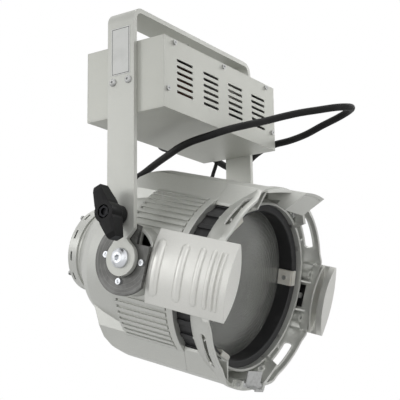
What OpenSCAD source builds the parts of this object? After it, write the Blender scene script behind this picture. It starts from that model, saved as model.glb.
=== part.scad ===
// Discharge par can: cast head in a flat-bar yoke with the ballast box between the legs.
// Millimetres. The origin is the centre of the hanging hole in the yoke's top face.
// The lamp faces -Y and tips down by the tilt angle. +X is the side away from the lock knob.

/* [Yoke] */
// Clearance between the side covers and the yoke legs
yoke_gap = 5; // [4:0.5:12]
// Width of the flat bar
yoke_w = 40; // [30:1:60]
// Thickness of the flat bar
yoke_t = 6; // [4:0.5:10]
// Inner radius of the yoke's bends
bend_r = 10; // [6:1:25]
// Radius of the hanging hole
hang_r = 6.5; // [4:0.5:8.5]
// Height of the tilt axis below the yoke's top face
pivot_drop = 306; // [260:1:360]
// Radius of the round eye at the foot of each leg
eye_r = 21; // [16:0.5:26]

/* [Ballast box] */
// Depth of the box top below the yoke's top face
box_drop = 44; // [30:1:60]
// Height of the box
box_h = 89; // [70:1:110]
// Distance from the leg centre to the box front
box_front = 60; // [50:1:75]
// Distance from the leg centre to the box back
box_back = 57; // [50:1:75]
// Thickness of the sheet metal
sheet = 1.5; // [0.8:0.1:3]
// Number of slots in a vent group
vent_rows = 6; // [3:1:8]
// Length of one vent slot
vent_len = 34; // [20:1:44]
// Width of one vent slot
vent_w = 3.5; // [2:0.5:5]

/* [Head] */
// Angle the head is tipped down at rest
tilt = 16; // [0:1:30]
// Radius of the front opening
mouth_r = 100; // [90:1:110]
// Wall from the front opening out to the barrel's surface between its ribs
barrel_wall = 5.6; // [5:0.2:8]
// Height of the barrel ribs
rib_h = 2.4; // [1:0.2:4]
// Width of one barrel rib
rib_w = 4.6; // [3:0.2:6]
// Number of ribs in each quarter of the barrel
rib_count = 8; // [4:1:9]
// Height of the smooth humps above the barrel
hump_rise = 15.9; // [13:0.1:19]
// Wall thickness of the castings
cast = 3; // [2.4:0.2:5]
// Number of grip teeth on the lens ring
teeth = 32; // [16:1:48]
// Radius of the pivot discs
disc_r = 43; // [38:0.5:46]
// Height of the front ring's flat sides above the barrel
flat_rise = 7.9; // [6:0.1:10]
// Height of the curved side covers above the ring's flat sides
cover_rise = 9.5; // [8:0.1:12]
// Radius of the rear cap
cap_r = 56; // [52:0.5:62]

/* [Leads] */
// Radius of the lamp lead
lead_r = 4.7; // [3:0.1:6]
// Radius of the earth lead
earth_r = 2.7; // [2:0.1:4]

/* [Fits] */
// Radial clearance of parts that turn on each other
run = 0.08; // [0.02:0.01:0.1]
// Radial clearance of a screw in its hole
loose = 0.2; // [0.05:0.05:0.5]
// Radial clearance of a part that is screwed or pressed into its seat
snug = 0.05; // [0.01:0.01:0.1]
// Gap between faces that pass each other
gap = 0.3; // [0.1:0.1:1]

/* [Hidden] */
$fn = 72;

// Colours of the materials
silver = [0.74, 0.75, 0.75];
zinc = [0.70, 0.71, 0.72];
black = [0.06, 0.06, 0.065];
grey = [0.42, 0.42, 0.42];
white = [0.9, 0.89, 0.85];
copper = [0.62, 0.3, 0.16];
glassy = [0.7, 0.76, 0.76, 0.5];

// Yoke and tilt axis
barrel_r = mouth_r + barrel_wall;
hump_r = barrel_r + hump_rise;
flat_x = barrel_r + flat_rise;
cover_r = flat_x + cover_rise;
half_in = cover_r + yoke_gap;
half_out = half_in + yoke_t;
pz = -pivot_drop;
bolt_r = 5;
bolt_head_r = 11.75;
bolt_head_h = 6.4;
neck_z = pz + 22;
neck_y = 9;
leg_cut = pz + 33;
lock_z = pz + 50;
lock_r = 4;
plate_t = 0.4;

// Ballast box
bx = half_in - gap;
bt = -box_drop;
bb = bt - box_h;
bf = -box_front;
bk = box_back;
lip = 12;
vents = [for (i = [-1.5 : 1 : 1.5]) i * bx / 2.25];
vent_top = bt - 25;
vent_pitch = 7.9;
box_screw_y = 11.5;
box_screw_z = -92;
box_screw_r = 2.5;
front_screws = [[21 - bx, -48.5], [1, -48.5], [bx - 21, -48.5], [7 - bx, -109], [bx - 7, -109]];
back_screws = front_screws;
core_l = 108;
ign_l = 84;
term_l = 20;
space = (2 * bx - core_l - ign_l - term_l) / 4;
core_x = space + core_l / 2 - bx;
ign_x = core_x + core_l / 2 + space + ign_l / 2;
term_x = ign_x + ign_l / 2 + space + term_l / 2;
core_y = -2;
comp_bolts = [[core_x - 48, -16], [core_x - 48, 12], [core_x + 48, -16], [core_x + 48, 12],
  [ign_x - 37, -31], [ign_x + 37, -31], [ign_x + 2, 47], [term_x, -36], [term_x, 33.8]];
inlet_x = 40;
inlet_z = -88;
gland_x = bx - 23.7;
gland_z = -98;
earth_y = 45;
earth_z = -118;

// Lens and ring stations along the optical axis, measured forward from the tilt axis
s_rear = -30;
s_face = 62;
s_win = 88;
s_front = 118;
s_cover = 145;
s_hood = 159;
disc_t = 5;
disc_in = half_in - 1 - disc_t;
nut_x = half_in - 32;
chord_s = 33;
hood_x = 21.5;
screw_x = 45;
screw_v = mouth_r - 3;
latch_s = 126;
latch_v = 7.5 - hump_r;
latch_r = 3.4;
pin_r = 1.5;
lens_bore = mouth_r - 9;
lens_seat = mouth_r - 5;
shell_r = mouth_r - run;
cap_rear = -156;
neck_end = -138;
knob_bore = 4;
gland_s = -147;
lamp_gland_x = 21;
earth_gland_x = 39;

// Route of the lamp lead, from the box gland to the rear cap
lead_path = [[104, 70, -98], [104, 84, -98], [104, 101, -98], [108, 116, -98],
  [118.5, 126.5, -98], [133, 130.5, -98], [148, 126.5, -98], [158.5, 115.5, -98.5],
  [163, 100, -100.5], [166, 84, -106], [168, 68, -115], [168, 52, -127], [166, 36, -135.5],
  [162.5, 19, -137], [159, 3, -132.5], [155, -13, -125], [152, -30, -119.5], [150, -49, -117],
  [150, -71, -115.5], [150, -96, -111], [150, -121, -103], [149, -145, -96.5],
  [142, -164, -93], [126, -177.5, -94], [108, -179, -97.5], [91, -171, -101],
  [79, -154, -104], [67, -132, -107], [51, -115, -113], [31, -102, -121], [7, -90, -129.5],
  [-15, -75, -138], [-29, -55, -146], [-32, -32, -150], [-26, -8, -153], [-13, 16, -155],
  [0, 40, -157], [11, 64, -161], [18, 84, -166], [20.8, 101, -170.5], [21, 110.7, -176],
  [21, 116.7, -182.7], [21, 119.4, -189], [21, 120.9, -194.4], [21, 122.6, -200.1]];

// Route of the earth lead
earth_path = [[132, 45, -118], [139, 45, -118], [145.5, 46, -119.5], [150.5, 49.3, -124.5],
  [152.4, 53.3, -132.5], [150, 55.5, -142], [145.5, 56, -151], [138, 60, -160],
  [127, 68, -167], [114, 78, -171.5], [99, 89, -174], [84, 99, -175], [69, 107, -174.3],
  [56, 112.5, -174], [46, 114.8, -176.3], [40.3, 117, -183], [39, 119.3, -189.3],
  [39, 121.5, -196.3], [39, 123.7, -204]];

// ---- placing ----

module optic() {
  translate([0, 0, pz]) rotate([90 + tilt, 0, 0]) children();
}

module xcyl(r, x0, x1, a, b) {
  translate([min(x0, x1), a, b]) rotate([0, 90, 0]) cylinder(r = r, h = abs(x1 - x0));
}

module ycyl(r, y0, y1, x, z) {
  translate([x, max(y0, y1), z]) rotate([90, 0, 0]) cylinder(r = r, h = abs(y1 - y0));
}

module zcyl(r, z0, z1, x, y) {
  translate([x, y, min(z0, z1)]) cylinder(r = r, h = abs(z1 - z0));
}

module block(x0, x1, y0, y1, z0, z1) {
  translate([min(x0, x1), min(y0, y1), min(z0, z1)])
    cube([abs(x1 - x0), abs(y1 - y0), abs(z1 - z0)]);
}

module yz_plate(x0, x1, pts) {
  translate([min(x0, x1), 0, 0]) rotate([90, 0, 90]) linear_extrude(abs(x1 - x0)) polygon(pts);
}

module hexes(r, h) {
  cylinder(r = r, h = h, $fn = 6);
}

// A domed screw head with a hexagon socket, base at z = 0
module button_head(r, h, key) {
  difference() {
    rotate_extrude() polygon([[0, 0], [r, 0], [r, 0.3 * h], [0.93 * r, 0.55 * h],
      [0.78 * r, 0.8 * h], [0.55 * r, h], [0, h]]);
    translate([0, 0, 0.45 * h]) hexes(key, h);
  }
}

// A round tube along a smooth curve through the given points
function seg(p, i) = p[max(0, min(len(p) - 1, i))];
function bez(a, b, c, d, t) = 0.5 * ((2 * b) + (c - a) * t + (2 * a - 5 * b + 4 * c - d) * t * t
  + (3 * b - a - 3 * c + d) * t * t * t);
function smooth(p, n) = [for (i = [0 : len(p) - 2]) for (k = [0 : n - 1])
  bez(seg(p, i - 1), seg(p, i), seg(p, i + 1), seg(p, i + 2), k / n), p[len(p) - 1]];
function unit(v) = v / norm(v);
function dirs(q) = [for (i = [0 : len(q) - 1])
  unit(i == 0 ? q[1] - q[0] : i == len(q) - 1 ? q[i] - q[i - 1] : q[i + 1] - q[i - 1])];
function turned(u, t) = unit(u - t * (u * t));
function sides(d, i) = i == 0 ? [turned([0, 0, 1], d[0])]
  : let (s = sides(d, i - 1)) concat(s, [turned(s[i - 1], d[i])]);
function rings(q, d, u, r, n) = [for (i = [0 : len(q) - 1]) for (k = [0 : n - 1])
  let (a = 360 * k / n, w = cross(d[i], u[i])) q[i] + r * (cos(a) * u[i] + sin(a) * w)];

module tube(path, steps, r, n) {
  q = smooth(path, steps);
  d = dirs(q);
  u = sides(d, len(q) - 1);
  m = len(q);
  skin = [for (i = [0 : m - 2]) for (k = [0 : n - 1])
    [i * n + k, (i + 1) * n + k, (i + 1) * n + (k + 1) % n, i * n + (k + 1) % n]];
  ends = [[for (k = [0 : n - 1]) k], [for (k = [n - 1 : -1 : 0]) (m - 1) * n + k]];
  polyhedron(points = rings(q, d, u, r, n), faces = concat(skin, ends), convexity = 10);
}

// ---- yoke ----

module leg(sx) {
  x0 = sx > 0 ? half_in : -half_out;
  yz_plate(x0, x0 + yoke_t, [[-yoke_w / 2, -yoke_t - bend_r], [yoke_w / 2, -yoke_t - bend_r],
    [yoke_w / 2, leg_cut], [neck_y, neck_z], [eye_r - 2, neck_z - 13], [-eye_r + 2, neck_z - 13],
    [-neck_y, neck_z], [-yoke_w / 2, leg_cut]]);
  xcyl(eye_r, x0, x0 + yoke_t, 0, pz);
}

module yoke_bend(sx) {
  cx = sx * (half_in - bend_r);
  difference() {
    ycyl(bend_r + yoke_t, -yoke_w / 2, yoke_w / 2, cx, -yoke_t - bend_r);
    ycyl(bend_r, -yoke_w, yoke_w, cx, -yoke_t - bend_r);
    block(cx - sx * 60, cx, -yoke_w, yoke_w, -60, 10);
    block(cx, cx + sx * 60, -yoke_w, yoke_w, -60, -yoke_t - bend_r);
  }
}

module yoke() {
  color(silver) difference() {
    union() {
      block(bend_r - half_in, half_in - bend_r, -yoke_w / 2, yoke_w / 2, -yoke_t, 0);
      for (sx = [-1, 1]) {
        yoke_bend(sx);
        leg(sx);
      }
    }
    zcyl(hang_r, -yoke_t - 1, 1, 0, 0);
    xcyl(bolt_r + run, -half_out - 1, half_out + 1, 0, pz);
    xcyl(lock_r + run, -half_out - 1, -half_in + 1, 0, lock_z);
    for (sy = [-1, 1]) xcyl(box_screw_r + loose, -half_out - 1, half_out + 1,
      sy * box_screw_y, box_screw_z);
  }
}

module blank_plate() {
  color(white) block(-half_out - plate_t, -half_out, -14, 14, -84, -24);
}

// ---- ballast box ----

module box_chassis() {
  color(silver) difference() {
    union() {
      block(-bx, bx, bf, bk, bt - sheet, bt);
      block(-bx + sheet, bx - sheet, bf + sheet, bf + 2 * sheet, bt - lip, bt - 1);
      block(-bx + sheet, bx - sheet, bk - 2 * sheet, bk - sheet, bt - lip, bt - 1);
      for (sx = [-1, 1]) {
        block(sx * bx, sx * (bx - sheet), bf + sheet, bk - sheet, bt - 1, bb + sheet);
        block(sx * (bx - 1), sx * (bx - lip), bf + sheet, bf + 2 * sheet, bt - 1, bb + sheet);
        block(sx * (bx - 1), sx * (bx - lip), bk - 2 * sheet, bk - sheet, bt - 1, bb + sheet);
        block(sx * (bx - 1), sx * (bx - lip), bf + 2 * sheet, bk - 2 * sheet, bb + 2 * sheet,
          bb + sheet);
      }
    }
    for (p = comp_bolts) zcyl(2 + loose, bt - 5, bt + 5, p[0], p[1]);
    for (p = front_screws) ycyl(1.5 + snug, bf, bf + 6, p[0], p[1]);
    for (p = back_screws) ycyl(1.5 + snug, bk - 6, bk, p[0], p[1]);
    for (sy = [-1, 1]) xcyl(box_screw_r + loose, -bx - 1, bx + 1, sy * box_screw_y, box_screw_z);
    xcyl(5 + loose, bx - 5, bx + 1, earth_y, earth_z);
  }
}

module slot_y(y0, y1, x, z, l, w) {
  block(x - l / 2 + w / 2, x + l / 2 - w / 2, y0, y1, z - w / 2, z + w / 2);
  for (sx = [-1, 1]) ycyl(w / 2, y0, y1, x + sx * (l - w) / 2, z, $fn = 24);
}

module box_cover() {
  color(silver) difference() {
    union() {
      block(-bx, bx, bf, bf + sheet, bb, bt - sheet);
      block(-bx, bx, bk - sheet, bk, bb, bt - sheet);
      block(-bx, bx, bf, bk, bb, bb + sheet);
    }
    for (g = [0 : 3]) for (i = [0 : vent_rows - 1])
      slot_y(bf - 1, bf + 5, vents[g], vent_top - i * vent_pitch, vent_len, vent_w);
    for (g = [0, 1]) for (i = [0 : vent_rows - 1])
      slot_y(bk - 5, bk + 1, vents[g], vent_top - i * vent_pitch, vent_len, vent_w);
    for (p = front_screws) ycyl(1.5 + loose, bf - 1, bf + 3, p[0], p[1]);
    for (p = back_screws) ycyl(1.5 + loose, bk - 3, bk + 1, p[0], p[1]);
    block(inlet_x - 14, inlet_x + 14, bk - 5, bk + 1, inlet_z - 10.5, inlet_z + 10.5);
    ycyl(8 + loose, bk - 5, bk + 1, gland_x, gland_z);
  }
}

module cover_screw(p, y0, out) {
  ycyl(1.5, y0 + out * 0, y0 - out * 7, p[0], p[1]);
  difference() {
    ycyl(3.2, y0, y0 + out * 2, p[0], p[1]);
    block(p[0] - 1.9, p[0] + 1.9, y0 + out * 1, y0 + out * 3, p[1] - 0.4, p[1] + 0.4);
    block(p[0] - 0.4, p[0] + 0.4, y0 + out * 1, y0 + out * 3, p[1] - 1.9, p[1] + 1.9);
  }
}

module cover_screws() {
  color(zinc) {
    for (p = front_screws) cover_screw(p, bf, -1);
    for (p = back_screws) cover_screw(p, bk, 1);
  }
}

module box_screws() {
  color(zinc) for (sx = [-1, 1]) for (sy = [-1, 1]) {
    xcyl(box_screw_r, sx * half_out, sx * (bx - 10), sy * box_screw_y, box_screw_z);
    translate([sx * half_out, sy * box_screw_y, box_screw_z]) rotate([0, sx * 90, 0])
      button_head(4.75, 2.8, 1.7);
  }
}

module hex_nut_x(x0, x1, y, z, r, bore) {
  difference() {
    translate([min(x0, x1), y, z]) rotate([0, 90, 0]) hexes(r, abs(x1 - x0));
    xcyl(bore, min(x0, x1) - 1, max(x0, x1) + 1, y, z);
  }
}

module box_nuts() {
  color(zinc) for (sx = [-1, 1]) for (sy = [-1, 1])
    hex_nut_x(sx * (bx - sheet), sx * (bx - sheet - 4), sy * box_screw_y, box_screw_z, 4.6,
      box_screw_r + snug);
}

// ---- what the box holds ----

module ballast_core() {
  top = bt - sheet;
  color(grey) difference() {
    union() {
      block(core_x - 40, core_x + 40, core_y - 22, core_y + 22, top - 64, top - 3);
      block(core_x - core_l / 2, core_x + core_l / 2, core_y - 22, core_y + 22, top - 3, top);
    }
    for (sx = [-1, 1]) block(core_x + sx * 13, core_x + sx * 27, core_y - 30, core_y + 30,
      top - 54, top - 14);
    for (p = comp_bolts) zcyl(2 + loose, top - 10, top + 1, p[0], p[1]);
    for (sx = [-1, 1]) for (sz = [-9, -59])
      ycyl(2.2, core_y - 30, core_y + 30, core_x + sx * 33, top + sz);
  }
}

module ballast_winding() {
  top = bt - sheet;
  color(copper) difference() {
    block(core_x - 26.7, core_x + 26.7, core_y - 34, core_y + 34, top - 53.7, top - 14.3);
    block(core_x - 13.3, core_x + 13.3, core_y - 22.3, core_y + 22.3, top - 60, top - 10);
    for (sy = [-1, 1]) block(core_x - 30, core_x + 30, core_y + sy * 33, core_y + sy * 36,
      top - 36, top - 32);
  }
}

module ignitor() {
  top = bt - sheet;
  color(white) difference() {
    union() {
      block(ign_x - 32, ign_x + 32, -48, -14, top - 34, top);
      block(ign_x - ign_l / 2, ign_x + ign_l / 2, -38, -24, top - 2.5, top);
    }
    for (p = comp_bolts) zcyl(2 + loose, top - 10, top + 1, p[0], p[1]);
    for (x = [ign_x - 21, ign_x, ign_x + 21]) block(x - 4, x + 4, -49, -44, top - 40, top - 26);
  }
}

module capacitor() {
  color(grey) difference() {
    union() {
      xcyl(17.5, ign_x - 35, ign_x + 41, 22, bt - sheet - 19.5);
      xcyl(16, ign_x + 41, ign_x + 44, 22, bt - sheet - 19.5);
      for (sy = [-1, 1]) block(ign_x + 44, ign_x + 48, 22 + sy * 6 - 2.5, 22 + sy * 6 + 2.5,
        bt - sheet - 20, bt - sheet - 19);
    }
    for (x = [ign_x - 29, ign_x + 35]) difference() {
      xcyl(19, x - 1, x + 1, 22, bt - sheet - 19.5);
      xcyl(17, x - 2, x + 2, 22, bt - sheet - 19.5);
    }
  }
}

module capacitor_clip() {
  zc = bt - sheet - 19.5;
  color(zinc) difference() {
    union() {
      xcyl(19.3, ign_x - 6, ign_x + 10, 22, zc);
      block(ign_x - 6, ign_x + 10, 22, 53, zc + 17.5, zc + 19.5);
      block(ign_x - 6, ign_x + 10, 39, 40.5, zc, zc + 19.5);
    }
    xcyl(17.5 + snug, ign_x - 12, ign_x + 16, 22, zc);
    block(ign_x - 12, ign_x + 16, 0, 60, zc + 19.5, zc + 30);
    zcyl(2 + loose, zc + 10, zc + 30, ign_x + 2, 47);
  }
}

module terminal_block() {
  top = bt - sheet;
  color(white) difference() {
    union() {
      block(term_x - 10, term_x + 10, -42, 38, top - 8, top);
      for (i = [0 : 4]) block(term_x - 10, term_x + 10, -28 + i * 12, -18.6 + i * 12, top - 18, top - 7);
    }
    for (i = [0 : 4]) {
      xcyl(2, term_x - 14, term_x + 14, -23.3 + i * 12, top - 13);
      for (x = [term_x - 5.5, term_x + 5.5]) zcyl(1.9, top - 19, top - 12, x, -23.3 + i * 12);
    }
    for (p = comp_bolts) zcyl(2 + loose, top - 10, top + 1, p[0], p[1]);
  }
}

module terminal_screws() {
  top = bt - sheet;
  color(zinc) for (i = [0 : 4]) for (x = [term_x - 5.5, term_x + 5.5]) difference() {
    zcyl(1.9 - snug, top - 18, top - 14.5, x, -23.3 + i * 12);
    block(x - 2, x + 2, -23.6 + i * 12, -23 + i * 12, top - 19, top - 17.3);
  }
}

module component_bolts() {
  color(zinc) for (p = comp_bolts) {
    zcyl(2, bt - 17, bt, p[0], p[1]);
    difference() {
      zcyl(3.8, bt, bt + 2.6, p[0], p[1]);
      block(p[0] - 2.2, p[0] + 2.2, p[1] - 0.5, p[1] + 0.5, bt + 1.4, bt + 3);
      block(p[0] - 0.5, p[0] + 0.5, p[1] - 2.2, p[1] + 2.2, bt + 1.4, bt + 3);
    }
  }
}

module component_nuts() {
  top = bt - sheet;
  color(zinc) for (i = [0 : len(comp_bolts) - 1]) {
    p = comp_bolts[i];
    h = i < 4 ? 3 : i < 6 ? 2.5 : i == 6 ? 2 : 8;
    difference() {
      translate([p[0], p[1], top - h - 3.2]) hexes(4, 3.2);
      zcyl(2 + snug, top - 30, top, p[0], p[1]);
    }
  }
}

module mains_inlet() {
  color(black) difference() {
    union() {
      block(inlet_x - 13.8, inlet_x + 13.8, bk - 18, bk + 1, inlet_z - 10.2, inlet_z + 10.2);
      block(inlet_x - 17, inlet_x + 17, bk, bk + 3, inlet_z - 13, inlet_z + 13);
    }
    block(inlet_x - 11, inlet_x + 11, bk - 16, bk + 4, inlet_z - 7.5, inlet_z + 4);
    block(inlet_x - 8, inlet_x + 8, bk - 16, bk + 4, inlet_z - 7.5, inlet_z + 7.5);
    for (p = [[-6.5, -2.5], [0, 2], [6.5, -2.5]])
      block(inlet_x + p[0] - 1.1, inlet_x + p[0] + 1.1, bk - 25, bk - 10,
        inlet_z + p[1] - 2.1, inlet_z + p[1] + 2.1);
  }
}

module inlet_pins() {
  color(zinc) for (p = [[-6.5, -2.5], [0, 2], [6.5, -2.5]])
    block(inlet_x + p[0] - 1, inlet_x + p[0] + 1, bk - 24, bk - 2,
      inlet_z + p[1] - 2, inlet_z + p[1] + 2);
}

module lead_gland() {
  color(black) difference() {
    union() {
      ycyl(8, bk - 8, bk, gland_x, gland_z);
      translate([gland_x, bk + 6, gland_z]) rotate([90, 0, 0]) hexes(11, 6);
      ycyl(9, bk + 6, bk + 13, gland_x, gland_z);
      translate([gland_x, bk + 25, gland_z]) rotate([90, 0, 0]) cylinder(r1 = 6.6, r2 = 9, h = 12);
    }
    ycyl(lead_r + 0.6, bk - 9, bk + 26, gland_x, gland_z);
  }
}

module lead_gland_nut() {
  color(black) difference() {
    translate([gland_x, bk - sheet, gland_z]) rotate([90, 0, 0]) hexes(10.5, 4.5);
    ycyl(8 + snug, bk - 10, bk + 2, gland_x, gland_z);
  }
}

module earth_grommet() {
  color(black) difference() {
    union() {
      xcyl(5, bx - 6, bx, earth_y, earth_z);
      xcyl(7.5, bx, bx + 3, earth_y, earth_z);
      xcyl(4.6, bx + 3, bx + 11.3, earth_y, earth_z);
    }
    xcyl(earth_r + 0.5, bx - 8, bx + 12, earth_y, earth_z);
  }
}

module lamp_lead() {
  color(black) tube(lead_path, 2, lead_r, 12);
}

module earth_lead() {
  color(black) tube(earth_path, 3, earth_r, 8);
}

// ---- pivots and tilt lock ----

module pivot_bolts() {
  color(zinc) for (sx = [-1, 1]) {
    xcyl(bolt_r, sx * (nut_x - 8), sx * half_out, 0, pz);
    translate([sx * (half_out + gap), 0, pz]) rotate([0, sx * 90, 0])
      button_head(bolt_head_r, bolt_head_h - gap, 3.6);
    xcyl(bolt_r, sx * (half_out - 1), sx * (half_out + 3), 0, pz);
  }
}

module pivot_washers() {
  color(zinc) for (sx = [-1, 1]) difference() {
    xcyl(eye_r - 0.5, sx * (half_in - 1), sx * (half_in - 0.2), 0, pz);
    xcyl(bolt_r + snug, -half_in, half_in, 0, pz);
  }
}

module pivot_nuts() {
  color(zinc) for (sx = [-1, 1])
    hex_nut_x(sx * nut_x, sx * (nut_x - 7), 0, pz, 9, bolt_r + snug);
}

module pivot_disc(sx) {
  difference() {
    xcyl(disc_r, sx * disc_in, sx * (disc_in + disc_t), 0, 0);
    block(sx * (disc_in - 1), sx * (disc_in + 10), -60, 60, chord_s, 60);
    block(sx * (disc_in - 1), sx * (disc_in + 10), 20, 60, 13, 60);
    xcyl(bolt_r + snug, sx * (disc_in - 1), sx * (disc_in + 10), 0, 0);
    for (p = [[0, 27], [-27, 0], [0, -27]])
      xcyl(2 + loose, sx * (disc_in - 1), sx * (disc_in + 10), p[0], p[1]);
  }
}

module pivot_discs() {
  color(zinc) optic() for (sx = [-1, 1]) pivot_disc(sx);
}

module disc_screws() {
  color(zinc) optic() for (sx = [-1, 1]) for (p = [[0, 27], [-27, 0], [0, -27]]) {
    xo = sx * (disc_in + disc_t);
    xcyl(2, xo, sx * (disc_in - 6), p[0], p[1]);
    difference() {
      xcyl(3.8, xo, xo + sx * 2.4, p[0], p[1]);
      block(xo + sx * 1.3, xo + sx * 3, p[0] - 2.4, p[0] + 2.4, p[1] - 0.5, p[1] + 0.5);
      block(xo + sx * 1.3, xo + sx * 3, p[0] - 0.5, p[0] + 0.5, p[1] - 2.4, p[1] + 2.4);
    }
  }
}

// A knob with two wings, its axis along +Z, base at z = 0
module wing_knob(hub_r, span, h, base, tip_w) {
  difference() {
    union() {
      cylinder(r = hub_r, h = base + 2);
      translate([0, 0, base]) cylinder(r = hub_r + 1.5, h = h - base);
      intersection() {
        translate([0, 0, base]) linear_extrude(h - base) polygon([[-span, -tip_w],
          [-span, tip_w - 1], [-span + 2, tip_w], [-hub_r, hub_r - 1.5], [hub_r, hub_r - 1.5],
          [span - 2, tip_w], [span, tip_w - 1], [span, -tip_w], [hub_r, 1.5 - hub_r],
          [-hub_r, 1.5 - hub_r]]);
        translate([-span - 1, 0, 0]) rotate([90, 0, 90]) linear_extrude(2 * span + 2)
          polygon([[-20, base], [20, base], [20, h - 1], [4, h], [-4, h], [-20, h - 1]]);
        rotate([90, 0, 0]) translate([0, 0, -20]) linear_extrude(40) polygon([[-span, base + 3],
          [-hub_r, base], [hub_r, base], [span, base + 3], [span, h - 2], [span - 6, h],
          [6 - span, h], [-span, h - 2]]);
      }
    }
    translate([0, 0, -1]) cylinder(r = knob_bore + snug, h = h + 2);
    translate([0, 0, h - 4]) cylinder(r = hub_r - 3.4, h = 5);
  }
}

module lock_knob() {
  color(black) translate([-half_out - 1.2, 0, lock_z]) rotate([0, -90, 0]) rotate([0, 0, 20])
    wing_knob(11.5, 33.5, 30, 11, 5.6);
}

module lock_stud() {
  color(zinc) xcyl(lock_r, -half_out - 28, -half_in + 6.5, 0, lock_z);
}

module lock_nut() {
  color(zinc) hex_nut_x(-half_out - 27.2, -half_out - 30.6, 0, lock_z, 7.2, lock_r + snug);
}

module brake_shoe() {
  color(zinc) difference() {
    block(-half_in + gap, -half_in + 6.7, -12, 12, pz + 41, pz + 61);
    xcyl(disc_r + gap, -half_in - 5, -half_in + 10, 0, pz);
    xcyl(lock_r + run, -half_in - 5, -half_in + 10, 0, lock_z);
    for (sy = [-1, 1]) block(-half_in - 5, -half_in + 10, sy * 9, sy * 14, pz + 57, pz + 63);
  }
}

// ---- housing ----

function mir(p) = concat(p, [for (i = [len(p) - 1 : -1 : 0]) [-p[i][0], p[i][1]]]);
hump_out = mir([[58, 60], [58, mouth_r - 11], [44, hump_r - 9.5], [36, hump_r + 3.5]]);
hump_in = mir([[55, 59], [55, mouth_r - 12], [41.5, hump_r - 11.5], [34.5, hump_r + 2.5]]);
hump_back = [[0, -92], [mouth_r - 16, -92], [mouth_r - 8, -84], [mouth_r + 4, -74],
  [hump_r - 7.5, -67], [hump_r - 2, -56], [hump_r, -44], [hump_r, s_face], [0, s_face]];
hump_hollow = [[0, -86], [mouth_r - 20, -86], [mouth_r - 10, -80], [mouth_r + 1.5, -71.5],
  [hump_r - 10.5, -64.5], [hump_r - 5, -54], [hump_r - cast, -43],
  [hump_r - cast, s_face + 1], [0, s_face + 1]];
bowl_out = [[0, neck_end], [cap_r - 2, neck_end], [cap_r - 2, -134], [cap_r + 8, -122],
  [mouth_r - 20, -104], [mouth_r - 13, -90], [mouth_r - 7.5, -70], [mouth_r - 3, -45],
  [mouth_r - 0.5, -25], [mouth_r + 3, -6], [mouth_r + 3, 0], [0, 0]];
inside = [[0, neck_end - 1], [cap_r - 6, neck_end - 1], [cap_r - 6, -133], [cap_r + 4.5, -119.5],
  [mouth_r - 23.5, -102], [mouth_r - 16.5, -88.5], [mouth_r - 11, -69], [mouth_r - 6.2, -44.5],
  [mouth_r - 3.7, -24.5], [mouth_r - 0.2, -5], [mouth_r + 2.5, -2], [mouth_r + 2.5, 46],
  [mouth_r - 5, 46], [mouth_r - 5, 50], [mouth_r, 50], [mouth_r, s_face + 1], [0, s_face + 1]];

module hump_body(sv, pts, prof, s1) {
  intersection() {
    translate([0, 0, -100]) linear_extrude(s1 + 100)
      polygon([for (p = pts) [p[0], sv * p[1]]]);
    rotate_extrude() polygon(prof);
  }
}

module rib_angles() {
  for (i = [0 : rib_count - 1]) {
    a = 25.5 + i * 31.5 / (rib_count - 1);
    for (b = [a, 180 - a, 180 + a, 360 - a]) rotate([0, 0, b]) children();
  }
}

module pivot_boss(sx) {
  difference() {
    xcyl(disc_r - 2, sx * (nut_x - 6), sx * disc_in, 0, 0);
    block(sx * 80, sx * 130, -60, 60, chord_s, 60);
  }
}

module boss_hollow(sx) {
  difference() {
    xcyl(disc_r - 7, sx * (nut_x - 8), sx * (disc_in - 5.5), 0, 0);
    block(sx * 80, sx * 130, -60, 60, chord_s - 4, 60);
    xcyl(13, sx * nut_x, sx * half_in, 0, 0);
    for (a = [45, 135, 225, 315]) rotate([a, 0, 0])
      block(sx * nut_x, sx * half_in, -1.5, 1.5, 10, disc_r - 3);
    for (p = [[0, 27], [-27, 0], [0, -27]]) xcyl(4.5, sx * (nut_x + 4), sx * half_in, p[0], p[1]);
  }
}

module ledges(sx) {
  for (sv = [-1, 1]) block(sx * (mouth_r - 5), sx * (flat_x - 0.1), sv * 40, sv * 44, chord_s + 3, s_face);
}

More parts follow.
